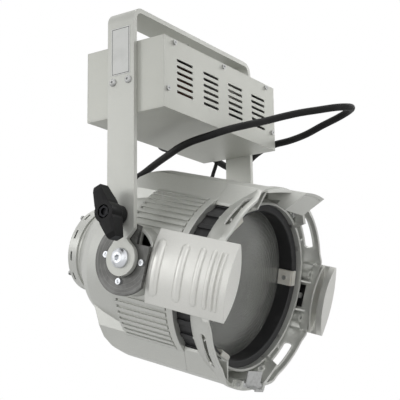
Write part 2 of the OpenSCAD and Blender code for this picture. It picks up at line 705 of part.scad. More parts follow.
module housing() {
  color(silver) optic() difference() {
    union() {
      translate([0, 0, s_rear]) cylinder(r = barrel_r, h = s_face - s_rear);
      translate([0, 0, s_face - 9]) cylinder(r = barrel_r + rib_h, h = 9);
      rib_angles() translate([barrel_r - 1.6, -rib_w / 2, s_rear + 3])
        cube([rib_h + 1.6, rib_w, s_face - s_rear - 14]);
      for (sv = [-1, 1]) hump_body(sv, hump_out, hump_back, s_face);
      rotate_extrude() polygon(bowl_out);
      for (sx = [-1, 1]) {
        pivot_boss(sx);
        ledges(sx);
      }
    }
    for (sv = [-1, 1]) difference() {
      hump_body(sv, hump_in, hump_hollow, s_face + 1);
      rotate_extrude() polygon(bowl_out);
      translate([0, 0, 40]) cylinder(r = mouth_r + 4, h = 40);
      for (sx = [-1, 1]) translate([sx * screw_x, sv * screw_v, 20]) cylinder(r = 6, h = 50);
    }
    difference() {
      translate([0, 0, s_rear - 1]) cylinder(r = barrel_r - cast, h = 22);
      rotate_extrude() polygon(bowl_out);
      for (sv = [-1, 1]) hump_body(sv, hump_out, hump_back, s_face);
      for (sx = [-1, 1]) pivot_boss(sx);
    }
    rotate_extrude() polygon(inside);
    for (sx = [-1, 1]) {
      boss_hollow(sx);
      xcyl(bolt_r + snug, sx * 80, sx * half_in, 0, 0);
      for (p = [[0, 27], [-27, 0], [0, -27]]) xcyl(2 + snug, sx * (disc_in - 12), sx * half_in,
        p[0], p[1]);
      intersection() {
        xcyl(disc_r - 5.5, sx * (disc_in - 14), sx * half_in, 0, 0);
        block(sx * (disc_in - 14), sx * half_in, 20, 60, 13, chord_s - 1);
      }
      for (sv = [-1, 1]) translate([sx * screw_x, sv * screw_v, 30])
        cylinder(r = 1.8 + snug, h = 50);
    }
    for (i = [0 : rib_count - 2]) {
      a = 25.5 + (i + 0.5) * 31.5 / (rib_count - 1);
      for (b = [a, 180 - a, 180 + a, 360 - a]) rotate([0, 0, b])
        translate([mouth_r - 0.4, 0, s_rear + 5]) rotate([0, 90, 0]) cylinder(r = 1.9, h = 12, $fn = 24);
    }
    for (a = [45, 135, 225, 315]) rotate([0, 0, a]) translate([cap_r - 4, 0, neck_end - 1])
      cylinder(r = 1.5 + snug, h = 6);
    for (a = [30, 150, 270]) rotate([0, 0, a]) translate([mouth_r - 2.4, 0, 45])
      cylinder(r = 1.4 + snug, h = 8);
  }
}

// ---- front ring ----

ring_prof = [[mouth_r, s_win], [mouth_r + 8, s_win], [cover_r, 111], [cover_r, s_front],
  [cover_r - cast, s_front], [cover_r - cast, 112.2], [mouth_r + 6.3, 91], [mouth_r + cast, 91],
  [mouth_r + cast, 116], [mouth_r, 116]];

module ring_hump(sv) {
  difference() {
    translate([0, 0, s_face + gap]) intersection() {
      linear_extrude(s_front - s_face - gap) polygon([for (p = hump_out) [p[0], sv * p[1]]]);
      cylinder(r = hump_r, h = 90);
    }
    difference() {
      translate([0, 0, s_face]) intersection() {
        linear_extrude(s_front) polygon([for (p = hump_in) [p[0], sv * p[1]]]);
        cylinder(r = hump_r - cast, h = 90);
      }
      for (sx = [-1, 1]) translate([sx * screw_x, sv * screw_v, s_face])
        cylinder(r = 5.5, h = 107 - s_face);
      translate([-60, sv * (hump_r - 8.5) - 1.5, s_face]) cube([120, 3, 20]);
    }
  }
}

module hood() {
  intersection() {
    difference() {
      translate([0, 0, s_front - 4]) cylinder(r = hump_r, h = s_hood - s_front + 4);
      translate([0, 0, s_front - 5]) cylinder(r = hump_r - cast, h = s_hood - s_front + 6);
    }
    translate([0, hump_r + 8, 0]) rotate([90, 0, 0]) linear_extrude(60) polygon([[-44, s_front - 4],
      [44, s_front - 4], [44, 121], [hood_x, 138], [hood_x, s_hood], [-hood_x, s_hood],
      [-hood_x, 138], [-44, 121]]);
  }
  intersection() {
    translate([0, 0, 100]) cylinder(r = hump_r, h = 70);
    union() {
      for (sx = [-1, 1]) yz_plate(sx * (hood_x - cast), sx * hood_x, [[hump_r - 16.5, 108],
        [hump_r - 15.5, 126], [hump_r - 21, 139], [hump_r - 24.7, 154], [hump_r - 26, s_hood],
        [hump_r + 1, s_hood], [hump_r + 1, 108]]);
      yz_plate(-hood_x, hood_x, [[hump_r - 26, s_hood], [hump_r - 25.6, s_hood - cast],
        [hump_r + 1, s_hood - cast], [hump_r + 1, s_hood]]);
    }
  }
}

module front_ring() {
  color(silver) optic() difference() {
    union() {
      intersection() {
        rotate_extrude() polygon(ring_prof);
        block(-flat_x, flat_x, -130, 130, 80, 130);
      }
      for (sv = [-1, 1]) ring_hump(sv);
      for (sx = [-1, 1]) {
        block(sx * (flat_x - cast), sx * flat_x, -43.6, 43.6, s_face + gap, s_front);
        for (sv = [-1, 1]) {
          block(sx * (mouth_r + 1.5), sx * (flat_x - 1), sv * 17, sv * 19.5, 89, 110);
          translate([sx * (mouth_r + 6.8), sv * 28, 89]) cylinder(r = 6, h = 20);
          block(sx * (mouth_r + 4), sx * (flat_x - 1), sv * 41, sv * 43.6, s_face + gap, 112);
        }
      }
      for (a = [40, 52, 128, 140, 220, 232, 308, 320]) rotate([0, 0, a])
        block(mouth_r + 2, mouth_r + 10, -1.3, 1.3, 89, 104);
      hood();
      for (sx = [-1, 1]) block(sx * 22.4, sx * 26.4, latch_v - 5, latch_v + 5, s_front - 6,
        latch_s + 4.5);
      intersection() {
        block(-30, 30, latch_v - 5, latch_v + 4, s_front - 6, 120.5);
        translate([0, 0, 100]) cylinder(r = hump_r, h = 30);
      }
    }
    translate([0, 0, s_face - 1]) cylinder(r = mouth_r + cast, h = s_win - s_face + 1);
    translate([0, 0, s_win - 1]) cylinder(r = mouth_r, h = 40);
    for (q = [0, 90, 180, 270]) rotate([0, 0, q + 45]) slot_arc();
    for (sx = [-1, 1]) for (sv = [-1, 1]) {
      translate([sx * screw_x, sv * screw_v, s_face - 1]) cylinder(r = 1.8 + loose, h = 70);
      translate([sx * (mouth_r + 6.8), sv * 28, 95]) cylinder(r = 2.2, h = 20);
    }
    for (sx = [-1, 1]) block(sx * (mouth_r + 5), sx * (cover_r - 3), -14.3, 14.3, 91, 105.3);
    xcyl(pin_r + snug, -40, 40, latch_v, latch_s);
    for (sx = [-1, 1]) translate([sx * (mouth_r + 7), 0, 80]) cylinder(r = 2 + snug, h = 20);
  }
}

// One long slot through the conical wall, centred on the local X axis
module slot_arc() {
  for (a = [-10.5, 10.5]) rotate([0, 0, a]) translate([mouth_r, 0, 106]) rotate([0, 90, 0])
    cylinder(r = 4, h = 30);
  rotate([0, 0, -10.5]) rotate_extrude(angle = 21) translate([mouth_r + 3.5, 102]) square([26, 8]);
}

module ring_screws() {
  color(zinc) optic() for (sx = [-1, 1]) for (sv = [-1, 1]) {
    translate([sx * screw_x, sv * screw_v, 40]) cylinder(r = 1.8, h = 67.2);
    translate([sx * screw_x, sv * screw_v, 107]) difference() {
      cylinder(r = 3.6, h = 2.6);
      translate([-2.2, -0.5, 1.4]) cube([4.4, 1, 2]);
      translate([-0.5, -2.2, 1.4]) cube([1, 4.4, 2]);
    }
  }
}

// ---- lens group ----

module lens_ring() {
  color(black) optic() difference() {
    union() {
      rotate_extrude() polygon([[lens_seat, 57], [shell_r, 57], [shell_r, 99.5],
        [lens_bore + 1, 99.5], [lens_bore, 98.5], [lens_bore, 79.5], [lens_seat, 79.5]]);
      for (i = [0 : teeth - 1]) rotate([0, 0, i * 360 / teeth]) translate([mouth_r - 1, -3, 63])
        cube([3.3, 6, 24]);
    }
    for (a = [12, 132, 252]) rotate([0, 0, a]) translate([lens_bore - 6, 0, 91])
      rotate([0, 90, 0]) cylinder(r = 1.5 + snug, h = 10);
  }
}

module lens() {
  color(glassy) optic() rotate_extrude() polygon([[0, 90], [20, 89.6], [40, 88.2], [60, 85.9],
    [lens_bore - 16, 83.4], [lens_bore - 7, 81.4], [lens_bore - 0.6, 79.3],
    [lens_seat - 0.4, 79.3], [lens_seat - 0.4, 74.5], [lens_bore - 1, 74.5], [lens_bore - 16, 79],
    [60, 81.6], [40, 84], [20, 85.4], [0, 85.8]]);
}

module lens_spring() {
  color(zinc) optic() difference() {
    translate([0, 0, 72.6]) cylinder(r = lens_seat - snug, h = 1.8);
    translate([0, 0, 72]) cylinder(r = lens_bore + 0.5, h = 4);
    block(lens_bore - 11, lens_bore + 9, -7, 7, 70, 76);
  }
}

module lens_clips() {
  color(white) optic() for (a = [12, 132, 252]) rotate([0, 0, a]) difference() {
    union() {
      block(lens_bore - 4.4, lens_bore - 0.6, -9.5, 9.5, 81.4, 99.8);
      block(lens_bore - 3, lens_bore + 5, -9.5, 9.5, 99.8, 101.6);
    }
    translate([lens_bore - 11, 0, 91]) rotate([0, 90, 0]) cylinder(r = 1.5 + snug, h = 20);
  }
}

module clip_screws() {
  color(zinc) optic() for (a = [12, 132, 252]) rotate([0, 0, a]) translate([0, 0, 91])
    rotate([0, 90, 0]) {
      translate([0, 0, lens_bore - 5]) cylinder(r = 1.5, h = 8);
      translate([0, 0, lens_bore - 6.2]) cylinder(r = 2.8, h = 1.8);
    }
}

// ---- side covers ----

cover_ribs = [[44.5, 13], [78.5, 10.6], [102.6, 7.8], [118.2, 5.6], [127.2, 4], [133.4, 3.2]];

almond_r = 82;

module almond(sx, s0, s1) {
  intersection() {
    translate([0, 0, s0]) cylinder(r = cover_r, h = s1 - s0);
    translate([sx * (cover_r + 60), 0, s0]) cylinder(r = almond_r, h = s1 - s0);
    block(0, sx * (cover_r + 7), -43.9, 43.9, s0, s1);
  }
}

module cover_skin(sx) {
  intersection() {
    difference() {
      translate([0, 0, chord_s + 0.8]) cylinder(r = cover_r, h = s_cover - chord_s - 0.8);
      translate([0, 0, 20]) cylinder(r = cover_r - 2.4, h = 140);
    }
    block(sx * (flat_x + 0.2), sx * (cover_r + 7), -44, 44, 20, 150);
  }
}

module cover_rib(sx, s, w) {
  intersection() {
    difference() {
      translate([0, 0, s - w]) cylinder(r = cover_r + 1.2, h = 2 * w);
      translate([0, 0, s - w - 1]) cylinder(r = cover_r - 1, h = 2 * w + 2);
    }
    union() {
      block(sx * (cover_r - 20), sx * (cover_r + 7), -34.5 + w / 2, 32 - w / 2, s - w / 2, s + w / 2);
      for (v = [w / 2 - 34.5, 32 - w / 2]) xcyl(w / 2, sx * (cover_r - 20),
        sx * (cover_r + 7), v, s);
    }
  }
}

module side_cover(sx) {
  color(silver) optic() difference() {
    union() {
      cover_skin(sx);
      for (r = cover_ribs) cover_rib(sx, r[0], r[1]);
      almond(sx, s_cover - 8.5, s_cover);
      almond(sx, s_front + 8, s_front + 10.5);
      for (sv = [-1, 1]) block(sx * (flat_x + 0.3), sx * (cover_r - 1.6), sv * 14.3,
        sv * 16.6, 93, 105);
      intersection() {
        translate([0, 0, chord_s + 0.8]) cylinder(r = cover_r, h = 2.4);
        block(sx * (flat_x + 0.2), sx * (cover_r + 7), -44, 44, chord_s + 0.8, chord_s + 3.2);
      }
    }
    intersection() {
      almond(sx, s_cover - 6.5, s_cover - 2.5);
      translate([sx * (cover_r + 60), 0, 100]) cylinder(r = almond_r - 3.5, h = 60);
      translate([0, 0, 100]) cylinder(r = cover_r - 3, h = 60);
    }
  }
}

module cover_brackets() {
  color(black) optic() for (sx = [-1, 1]) difference() {
    union() {
      block(sx * (mouth_r + 3.5), sx * (mouth_r + 12), -14, 14, 91.2, 94);
      block(sx * (mouth_r + 4), sx * (cover_r - 3.7), -14, 14, 93, 105);
    }
    translate([sx * (mouth_r + 7), 0, 85]) cylinder(r = 2 + loose, h = 30);
    for (sv = [-1, 1]) block(sx * (mouth_r + 3), sx * (mouth_r + 10), sv * 8, sv * 13, 97, 106);
  }
}

module bracket_screws() {
  color(zinc) optic() for (sx = [-1, 1]) translate([sx * (mouth_r + 7), 0, 0]) {
    translate([0, 0, 88]) cylinder(r = 2, h = 17.2);
    translate([0, 0, 105]) difference() {
      cylinder(r = 3.6, h = 2.6);
      translate([-2.2, -0.5, 1.4]) cube([4.4, 1, 2]);
      translate([-0.5, -2.2, 1.4]) cube([1, 4.4, 2]);
    }
  }
}

// ---- frame latch ----

module frame_latch() {
  color(zinc) optic() difference() {
    union() {
      xcyl(latch_r, -22.1, 22.1, latch_v, latch_s);
      block(-16, 16, latch_v, latch_v + 17, latch_s + latch_r - 1.6, latch_s + latch_r);
      block(-9, 9, latch_v - latch_r, latch_v - latch_r + 1.6, latch_s, latch_s + 14);
      block(-9, 9, latch_v - latch_r - 1.6, latch_v - latch_r + 1.6, latch_s + 12.4, latch_s + 14);
    }
    xcyl(pin_r + run, -30, 30, latch_v, latch_s);
  }
}

module latch_pin() {
  color(zinc) optic() {
    xcyl(pin_r, -27.5, 27.5, latch_v, latch_s);
    for (sx = [-1, 1]) xcyl(2.4, sx * 26.5, sx * 28, latch_v, latch_s);
  }
}

// ---- reflector and lamp ----

function par_r(s) = (mouth_r - 8.5) * sqrt((s + 90) / 138.6);
refl_s = [-80.5, -76, -70, -60, -48, -34, -18, 0, 20, 38, 48.6];

module reflector() {
  color(silver) optic() difference() {
    rotate_extrude() polygon(concat([for (s = refl_s) [par_r(s), s]], [[mouth_r - 7, 50],
      [mouth_r - 0.6, 50], [mouth_r - 0.6, 51.4],
      [par_r(48.6) - 1.4, 51.4]], [for (i = [len(refl_s) - 1 : -1 : 0])
      [par_r(refl_s[i]) - 1.3, refl_s[i] + 0.4]]));
    for (a = [30, 150, 270]) rotate([0, 0, a]) translate([mouth_r - 2.4, 0, 45])
      cylinder(r = 1.4 + loose, h = 12);
  }
}

module reflector_screws() {
  color(zinc) optic() for (a = [30, 150, 270]) rotate([0, 0, a]) translate([mouth_r - 2.4, 0, 0]) {
    translate([0, 0, 46.4]) cylinder(r = 1.4, h = 6);
    translate([0, 0, 51.4]) cylinder(r = 2.3, h = 1.8);
  }
}

module holder_plate() {
  color(zinc) optic() difference() {
    translate([0, 0, -136]) cylinder(r = cap_r - 6.6, h = 1.5);
    translate([0, 0, -137]) cylinder(r = 4 + snug, h = 4);
    for (a = [0, 120, 240]) rotate([0, 0, a]) translate([40, 0, -137]) cylinder(r = 2.6, h = 4);
    for (a = [60, 180, 300]) rotate([0, 0, a]) translate([32, 0, -137]) cylinder(r = 8, h = 4);
  }
}

module holder_posts() {
  color(zinc) optic() for (a = [0, 120, 240]) rotate([0, 0, a]) translate([40, 0, 0]) {
    translate([0, 0, cap_rear + cast]) cylinder(r = 4, h = -136 - cap_rear - cast);
    translate([0, 0, -137]) cylinder(r = 2.5, h = 4.4);
    translate([0, 0, -134.5]) hexes(4.2, 2.2);
  }
}

module lampholder() {
  color(white) optic() difference() {
    union() {
      translate([0, 0, -134.5]) cylinder(r = 15, h = 22);
      block(-22, 22, -7, 7, -134.5, -128);
    }
    for (sx = [-1, 1]) translate([sx * 6, 0, -126]) cylinder(r = 1.4, h = 20);
    translate([0, 0, -135]) cylinder(r = 6, h = 5);
    for (sv = [-1, 1]) block(-16, 16, sv * 12, sv * 16, -122, -118);
  }
}

module lamp_base() {
  color(white) optic() {
    translate([0, 0, -112.3]) cylinder(r = 12.5, h = 7);
    translate([0, 0, -105.3]) cylinder(r = 10.5, h = 9);
  }
}

module lamp_pins() {
  color(zinc) optic() for (sx = [-1, 1]) translate([sx * 6, 0, -124])
    cylinder(r = 1.2, h = 11.7);
}

module lamp_bulb() {
  color(glassy) optic() difference() {
    union() {
      translate([0, 0, -96.3]) cylinder(r = 9.5, h = 38);
      translate([0, 0, -58.3]) sphere(r = 9.5);
    }
    translate([0, 0, -95]) cylinder(r = 8.4, h = 36.7);
    translate([0, 0, -58.3]) sphere(r = 8.4);
  }
}

module lamp_burner() {
  color(white) optic() {
    translate([0, 0, -83]) cylinder(r = 3.6, h = 16);
    translate([0, 0, -95]) cylinder(r = 1.1, h = 12.2);
    translate([0, 0, -67.2]) cylinder(r = 1.1, h = 7);
    translate([0, 0, -60.9]) rotate([90, 0, 0]) cylinder(r = 0.6, h = 6);
    translate([0, -5.6, -95]) cylinder(r = 0.6, h = 34.6);
  }
}

// ---- rear cap ----

cap_prof = [[0, cap_rear], [cap_r - 4, cap_rear], [cap_r, cap_rear + 4], [cap_r, neck_end],
  [cap_r - 2.8, neck_end], [cap_r - 2.8, cap_rear + cast], [0, cap_rear + cast]];

module gland_boss(x, r) {
  translate([x, cap_r - 22, gland_s]) rotate([-90, 0, 0]) cylinder(r = r, h = 26);
}

module rear_cap() {
  color(silver) optic() difference() {
    union() {
      rotate_extrude() polygon(cap_prof);
      for (a = [45, 135, 225, 315]) rotate([0, 0, a]) translate([cap_r - 6.2, 0, cap_rear + 1])
        cylinder(r = 4.6, h = neck_end - cap_rear - 1);
      for (i = [0 : 11]) rotate([0, 0, 15 + i * 30]) block(16, 40, -1.2, 1.2,
        cap_rear - 2, cap_rear + 1);
      translate([0, 0, cap_rear - 2.6]) cylinder(r = 12, h = 5);
      gland_boss(lamp_gland_x, 8.6);
      gland_boss(earth_gland_x, 6.4);
    }
    translate([0, 0, cap_rear - 5]) cylinder(r = knob_bore + run, h = 10);
    translate([lamp_gland_x, cap_r - 26, gland_s]) rotate([-90, 0, 0]) cylinder(r = lead_r, h = 40);
    translate([earth_gland_x, cap_r - 26, gland_s]) rotate([-90, 0, 0]) cylinder(r = earth_r, h = 40);
    for (a = [45, 135, 225, 315]) rotate([0, 0, a]) translate([cap_r - 4, 0, cap_rear - 2])
      cylinder(r = 1.5 + loose, h = 30);
    for (i = [0 : 11]) rotate([0, 0, i * 30]) translate([30, 0, cap_rear - 1])
      cylinder(r = 3, h = 6);
    for (i = [0, 3, 4, 5, 6, 7, 8, 9, 10, 11]) rotate([0, 0, i * 30 + 15])
      block(cap_r - 6, cap_r + 2, -6, 6, -148, -145.6);
  }
}

module cap_screws() {
  color(zinc) optic() for (a = [45, 135, 225, 315]) rotate([0, 0, a]) translate([cap_r - 4, 0, 0]) {
    translate([0, 0, cap_rear]) cylinder(r = 1.5, h = 22);
    translate([0, 0, cap_rear - 2.2]) difference() {
      cylinder(r = 3.2, h = 2.2);
      translate([-2, -0.4, -1]) cube([4, 0.8, 2]);
      translate([-0.4, -2, -1]) cube([0.8, 4, 2]);
    }
  }
}

module rear_stud() {
  color(zinc) optic() {
    translate([0, 0, -178]) cylinder(r = knob_bore, h = 44.6);
    translate([0, 0, -133.4]) cylinder(r = 5.5, h = 2.4);
  }
}

module rear_knob() {
  color(black) optic() translate([0, 0, cap_rear - 2.9]) rotate([0, 180, 0]) rotate([0, 0, 90])
    wing_knob(10, 40, 23, 8, 5.2);
}

module head_gland(x, r, hole, h) {
  difference() {
    union() {
      translate([x, cap_r + 4, gland_s]) rotate([-90, 0, 0]) hexes(r + 3.2, 5);
      translate([x, cap_r + 9, gland_s]) rotate([-90, 0, 0]) cylinder(r = r + 2, h = h - 5);
    }
    translate([x, cap_r + 3, gland_s]) rotate([-90, 0, 0]) cylinder(r = hole, h = h + 2);
  }
}

module head_glands() {
  color(black) optic() {
    head_gland(lamp_gland_x, 5.4, lead_r + 0.4, 14);
    head_gland(earth_gland_x, 3.2, earth_r + 0.4, 10);
  }
}

yoke();
blank_plate();
box_chassis();
box_cover();
cover_screws();
box_screws();
box_nuts();
ballast_core();
ballast_winding();
ignitor();
capacitor();
capacitor_clip();
terminal_block();
terminal_screws();
component_bolts();
component_nuts();
mains_inlet();
inlet_pins();
lead_gland();
lead_gland_nut();
earth_grommet();
lamp_lead();
earth_lead();
pivot_bolts();
pivot_washers();
pivot_nuts();
pivot_discs();
disc_screws();
lock_knob();
lock_stud();
lock_nut();
brake_shoe();
housing();
front_ring();
ring_screws();
lens_ring();
lens();
lens_spring();
lens_clips();
clip_screws();
side_cover(-1);  // side_cover_left
side_cover(1);  // side_cover_right
cover_brackets();
bracket_screws();
frame_latch();
latch_pin();
reflector();
reflector_screws();
lampholder();
holder_plate();
holder_posts();
lamp_base();
lamp_bulb();
lamp_burner();
lamp_pins();
rear_cap();
cap_screws();
rear_stud();
rear_knob();
head_glands();
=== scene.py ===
import math

import bmesh
import bpy
from mathutils import Matrix, Vector


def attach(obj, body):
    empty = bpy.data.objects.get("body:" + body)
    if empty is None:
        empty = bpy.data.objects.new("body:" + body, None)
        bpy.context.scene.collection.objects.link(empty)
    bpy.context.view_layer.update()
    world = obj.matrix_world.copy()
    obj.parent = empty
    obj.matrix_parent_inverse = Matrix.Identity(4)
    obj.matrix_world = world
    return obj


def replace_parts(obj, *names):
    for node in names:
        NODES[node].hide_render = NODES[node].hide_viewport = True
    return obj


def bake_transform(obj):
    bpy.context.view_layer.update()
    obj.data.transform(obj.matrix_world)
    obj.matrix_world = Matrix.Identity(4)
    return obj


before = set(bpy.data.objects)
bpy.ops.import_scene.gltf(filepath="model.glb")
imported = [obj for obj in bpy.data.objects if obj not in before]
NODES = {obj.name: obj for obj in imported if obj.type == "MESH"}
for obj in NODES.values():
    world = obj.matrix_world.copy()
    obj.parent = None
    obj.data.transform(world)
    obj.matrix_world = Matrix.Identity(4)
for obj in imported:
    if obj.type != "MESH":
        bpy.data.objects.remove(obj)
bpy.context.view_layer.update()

# The head tips about the X axis through PIVOT. HEAD takes a place on the head, x to the side, v up and
# s forward along the lens axis, into the frame. Both are in metres; what is typed in millimetres says so.
TILT = math.radians(16)
PIVOT = Vector((0, 0, -0.306))
HEAD = Matrix.Translation(PIVOT) @ Matrix.Rotation(math.pi / 2 + TILT, 4, "X")


def put(name, data):
    """An object for data, in the scene."""
    made = bpy.data.objects.new(name, data)
    bpy.context.scene.collection.objects.link(made)
    return made


# ---- camera ----

CAMERA_PLACE = (-1.05654, -0.73563, -0.48964)
CAMERA_TURN = (55.95, 12.03, -0.80)  # heading from +Y towards +X, pitch up and roll, in degrees
CAMERA_LENS, CAMERA_SENSOR = 92.75, 36


def make_camera():
    """The photograph's own view of the part."""
    yaw, pitch, roll = (math.radians(a) for a in CAMERA_TURN)
    ahead = Vector((math.sin(yaw) * math.cos(pitch), math.cos(yaw) * math.cos(pitch), math.sin(pitch)))
    right = Vector((math.cos(yaw), -math.sin(yaw), 0))
    up = right.cross(ahead)
    side = math.cos(roll) * right + math.sin(roll) * up
    top = math.cos(roll) * up - math.sin(roll) * right
    data = bpy.data.cameras.new("camera")
    data.lens, data.sensor_width = CAMERA_LENS, CAMERA_SENSOR
    data.clip_start, data.clip_end = 0.05, 50
    camera = put("camera", data)
    camera.matrix_world = Matrix.Translation(CAMERA_PLACE) @ Matrix((side, top, -ahead)).transposed().to_4x4()
    bpy.context.scene.camera = camera


make_camera()


# ---- sockets ----

class Link:
    """One output socket; sums on it add Math nodes."""

    def __init__(self, owner, socket):
        self.owner, self.socket = owner, socket

    def maths(self, what, *values, **more):
        return self.owner.node("ShaderNodeMath", dict(operation=what, **more), dict(enumerate(values)))

    def __add__(self, other): return self.maths("ADD", self, other)
    def __radd__(self, other): return self.maths("ADD", other, self)
    def __sub__(self, other): return self.maths("SUBTRACT", self, other)
    def __rsub__(self, other): return self.maths("SUBTRACT", other, self)
    def __mul__(self, other): return self.maths("MULTIPLY", self, other)
    def __rmul__(self, other): return self.maths("MULTIPLY", other, self)
    def __truediv__(self, other): return self.maths("DIVIDE", self, other)
    def __rtruediv__(self, other): return self.maths("DIVIDE", other, self)
    def __pow__(self, other): return self.maths("POWER", self, other)
    def sine(self): return self.maths("SINE", self)
    def size(self): return self.maths("ABSOLUTE", self)
    def at_least(self, low): return self.maths("MAXIMUM", self, low)
    def clamp(self): return self.maths("ADD", self, 0.0, use_clamp=True)

    def step(self, low, high):
        """0 at low and 1 at high, with a soft start and end; low may be the larger."""
        return self.owner.node("ShaderNodeMapRange", dict(interpolation_type="SMOOTHSTEP"),
                               {"Value": self, "From Min": low, "From Max": high, "To Min": 0.0, "To Max": 1.0})


class Tree:
    """A node tree and one way to add any node to it."""

    def __init__(self, tree):
        self.tree = tree

    def node(self, kind, settings=(), inputs=(), out=0):
        made = self.tree.nodes.new(kind)
        for key, value in dict(settings).items():
            setattr(made, key, value)
        for key, value in dict(inputs).items():
            if isinstance(value, Link):
                self.tree.links.new(value.socket, made.inputs[key])
            else:
                made.inputs[key].default_value = value
        return Link(self, made.outputs[out])

    def parts(self, vector):
        """The X, Y and Z of a vector."""
        split = self.node("ShaderNodeSeparateXYZ", inputs={"Vector": vector}).socket.node
        return [Link(self, output) for output in split.outputs]


# ---- finishes ----

def paint(r, g, b):
    """A linear colour from three screen values, 0 to 255."""
    return tuple(((v / 255 + 0.055) / 1.055) ** 2.4 if v > 10 else v / 255 / 12.92 for v in (r, g, b)) + (1.0,)


def shifted(colour, times=1.0, plus=0.0):
    """A linear colour made stronger or weaker, then raised."""
    return tuple(c * times + plus for c in colour[:3]) + (1.0,)


class Finish(Tree):
    """A material round one Principled shader. Scales count per metre; edges and depths are in metres."""

    def __init__(self, name, colour, rough, metal=0.0, fixed=(), edge=0.0006):
        self.material = bpy.data.materials.new(name)
        self.material.use_nodes = True
        super().__init__(self.material.node_tree)
        self.shader = self.tree.nodes["Principled BSDF"]
        self.edge = edge
        for socket, value in (("Base Color", colour), ("Roughness", rough), ("Metallic", metal), *fixed):
            self.shader.inputs[socket].default_value = value
        self.space = self.node("ShaderNodeTexCoord", out="Object")

    def feed(self, socket, value):
        self.tree.links.new(value.socket, self.shader.inputs[socket])

    def noise(self, scale, detail=3.0, rough=0.55, where=None):
        return self.node("ShaderNodeTexNoise", inputs={
            "Vector": where or self.space, "Scale": scale, "Detail": detail, "Roughness": rough})

    def cells(self, scale, feature="F1"):
        return self.node("ShaderNodeTexVoronoi", dict(feature=feature),
                         {"Vector": self.space, "Scale": scale}, out="Distance")

    def stretch(self, x, y, z, move=(0.0, 0.0, 0.0), turn=(0.0, 0.0, 0.0)):
        return self.node("ShaderNodeMapping", inputs={
            "Vector": self.space, "Location": move, "Rotation": turn, "Scale": (x, y, z)})

    def on_head(self):
        """The place on the head: x, v and s."""
        back = HEAD.inverted()
        return self.parts(self.stretch(1.0, 1.0, 1.0, move=tuple(back.translation), turn=tuple(back.to_euler())))

    def mix(self, amount, a, b):
        """Colour a at 0, colour b at 1; inputs 6 and 7 and output 2 are the Mix node's colours."""
        return self.node("ShaderNodeMix", dict(data_type="RGBA"), {0: amount, 6: a, 7: b}, out=2)

    def soft_edges(self):
        return self.node("ShaderNodeBevel", dict(samples=4), {"Radius": self.edge})

    def worn(self):
        """1 along outer and inner edges, 0 on flat faces."""
        flat = self.node("ShaderNodeNewGeometry", out="Normal")
        same = self.node("ShaderNodeVectorMath", dict(operation="DOT_PRODUCT"),
                         {0: self.soft_edges(), 1: flat}, out="Value")
        return (1 - same).step(0.02, 0.25)

    def bump(self, height, depth, strength=1.0, edges=True):
        """The last step of a finish: its relief, over softened edges or plain ones. Gives the material."""
        inputs = {"Height": height, "Distance": depth, "Strength": strength}
        if edges:
            inputs["Normal"] = self.soft_edges()
        self.feed("Normal", self.node("ShaderNodeBump", inputs=inputs))
        return self.material


def cast_paint(name, colour, dusty, metal=0.58, rough=0.38, edge=0.0011):
    """Sprayed silver over cast aluminium."""
    f = Finish(name, colour, rough, metal, edge=edge)
    drift = f.noise(9.0, 4.0)
    flake = f.cells(2600.0)
    grain = f.noise(700.0, 2.0)
    pits = f.cells(900.0, "SMOOTH_F1")
    ripple = f.noise(55.0, 2.0)
    tone = f.mix((drift * 0.55 + grain * 0.25).step(0.30, 0.62), dusty, colour)
    tone = f.mix(f.worn() * 0.30, tone, (0.84, 0.84, 0.82, 1))
    f.feed("Base Color", f.mix(flake.step(0.55, 0.1) * 0.12, tone, (0.86, 0.86, 0.85, 1)))
    f.feed("Metallic", (metal + 0.12 - drift * 0.24).clamp())
    f.feed("Roughness", (rough - 0.09 + drift * 0.12 + flake * 0.06 + grain * 0.08).clamp())
    return f.bump(grain * 0.25 + pits * 0.15 + ripple * 1.6, 0.00016, 0.75)


def sheet_paint(name, colour, dusty):
    """Powder coat with a light orange peel over flat steel."""
    f = Finish(name, colour, 0.38, 0.42, edge=0.0007)
    drift = f.noise(6.0, 3.0)
    peel = f.cells(420.0, "SMOOTH_F1")
    fine = f.noise(2400.0, 1.0)
    tone = f.mix(drift.step(0.35, 0.65), dusty, colour)
    tone = f.mix(fine.step(0.62, 0.75) * 0.25, tone, (0.86, 0.87, 0.86, 1))
    f.feed("Base Color", f.mix(f.worn() * 0.4, tone, (0.82, 0.82, 0.80, 1)))
    f.feed("Roughness", (0.36 + drift * 0.08 + peel * 0.12).clamp())
    return f.bump(peel * 0.8 + fine * 0.2, 0.00006, 0.6)


def plated(name, colour, rough=0.26, grime=(0.30, 0.30, 0.29, 1)):
    """Turned or pressed metal with a clouded plating and fine tool lines."""
    f = Finish(name, colour, rough, 1.0, edge=0.0003)
    cloud = f.noise(160.0, 4.0)
    lines = f.noise(1.0, 2.0, where=f.stretch(300.0, 2600.0, 2600.0))
    f.feed("Base Color", f.mix(cloud.step(0.42, 0.70) * 0.45, colour, grime))
    f.feed("Roughness", (rough + cloud * 0.16 + lines * 0.08).clamp())
    return f.bump(lines * 0.6 + cloud * 0.4, 0.00003, 0.6)


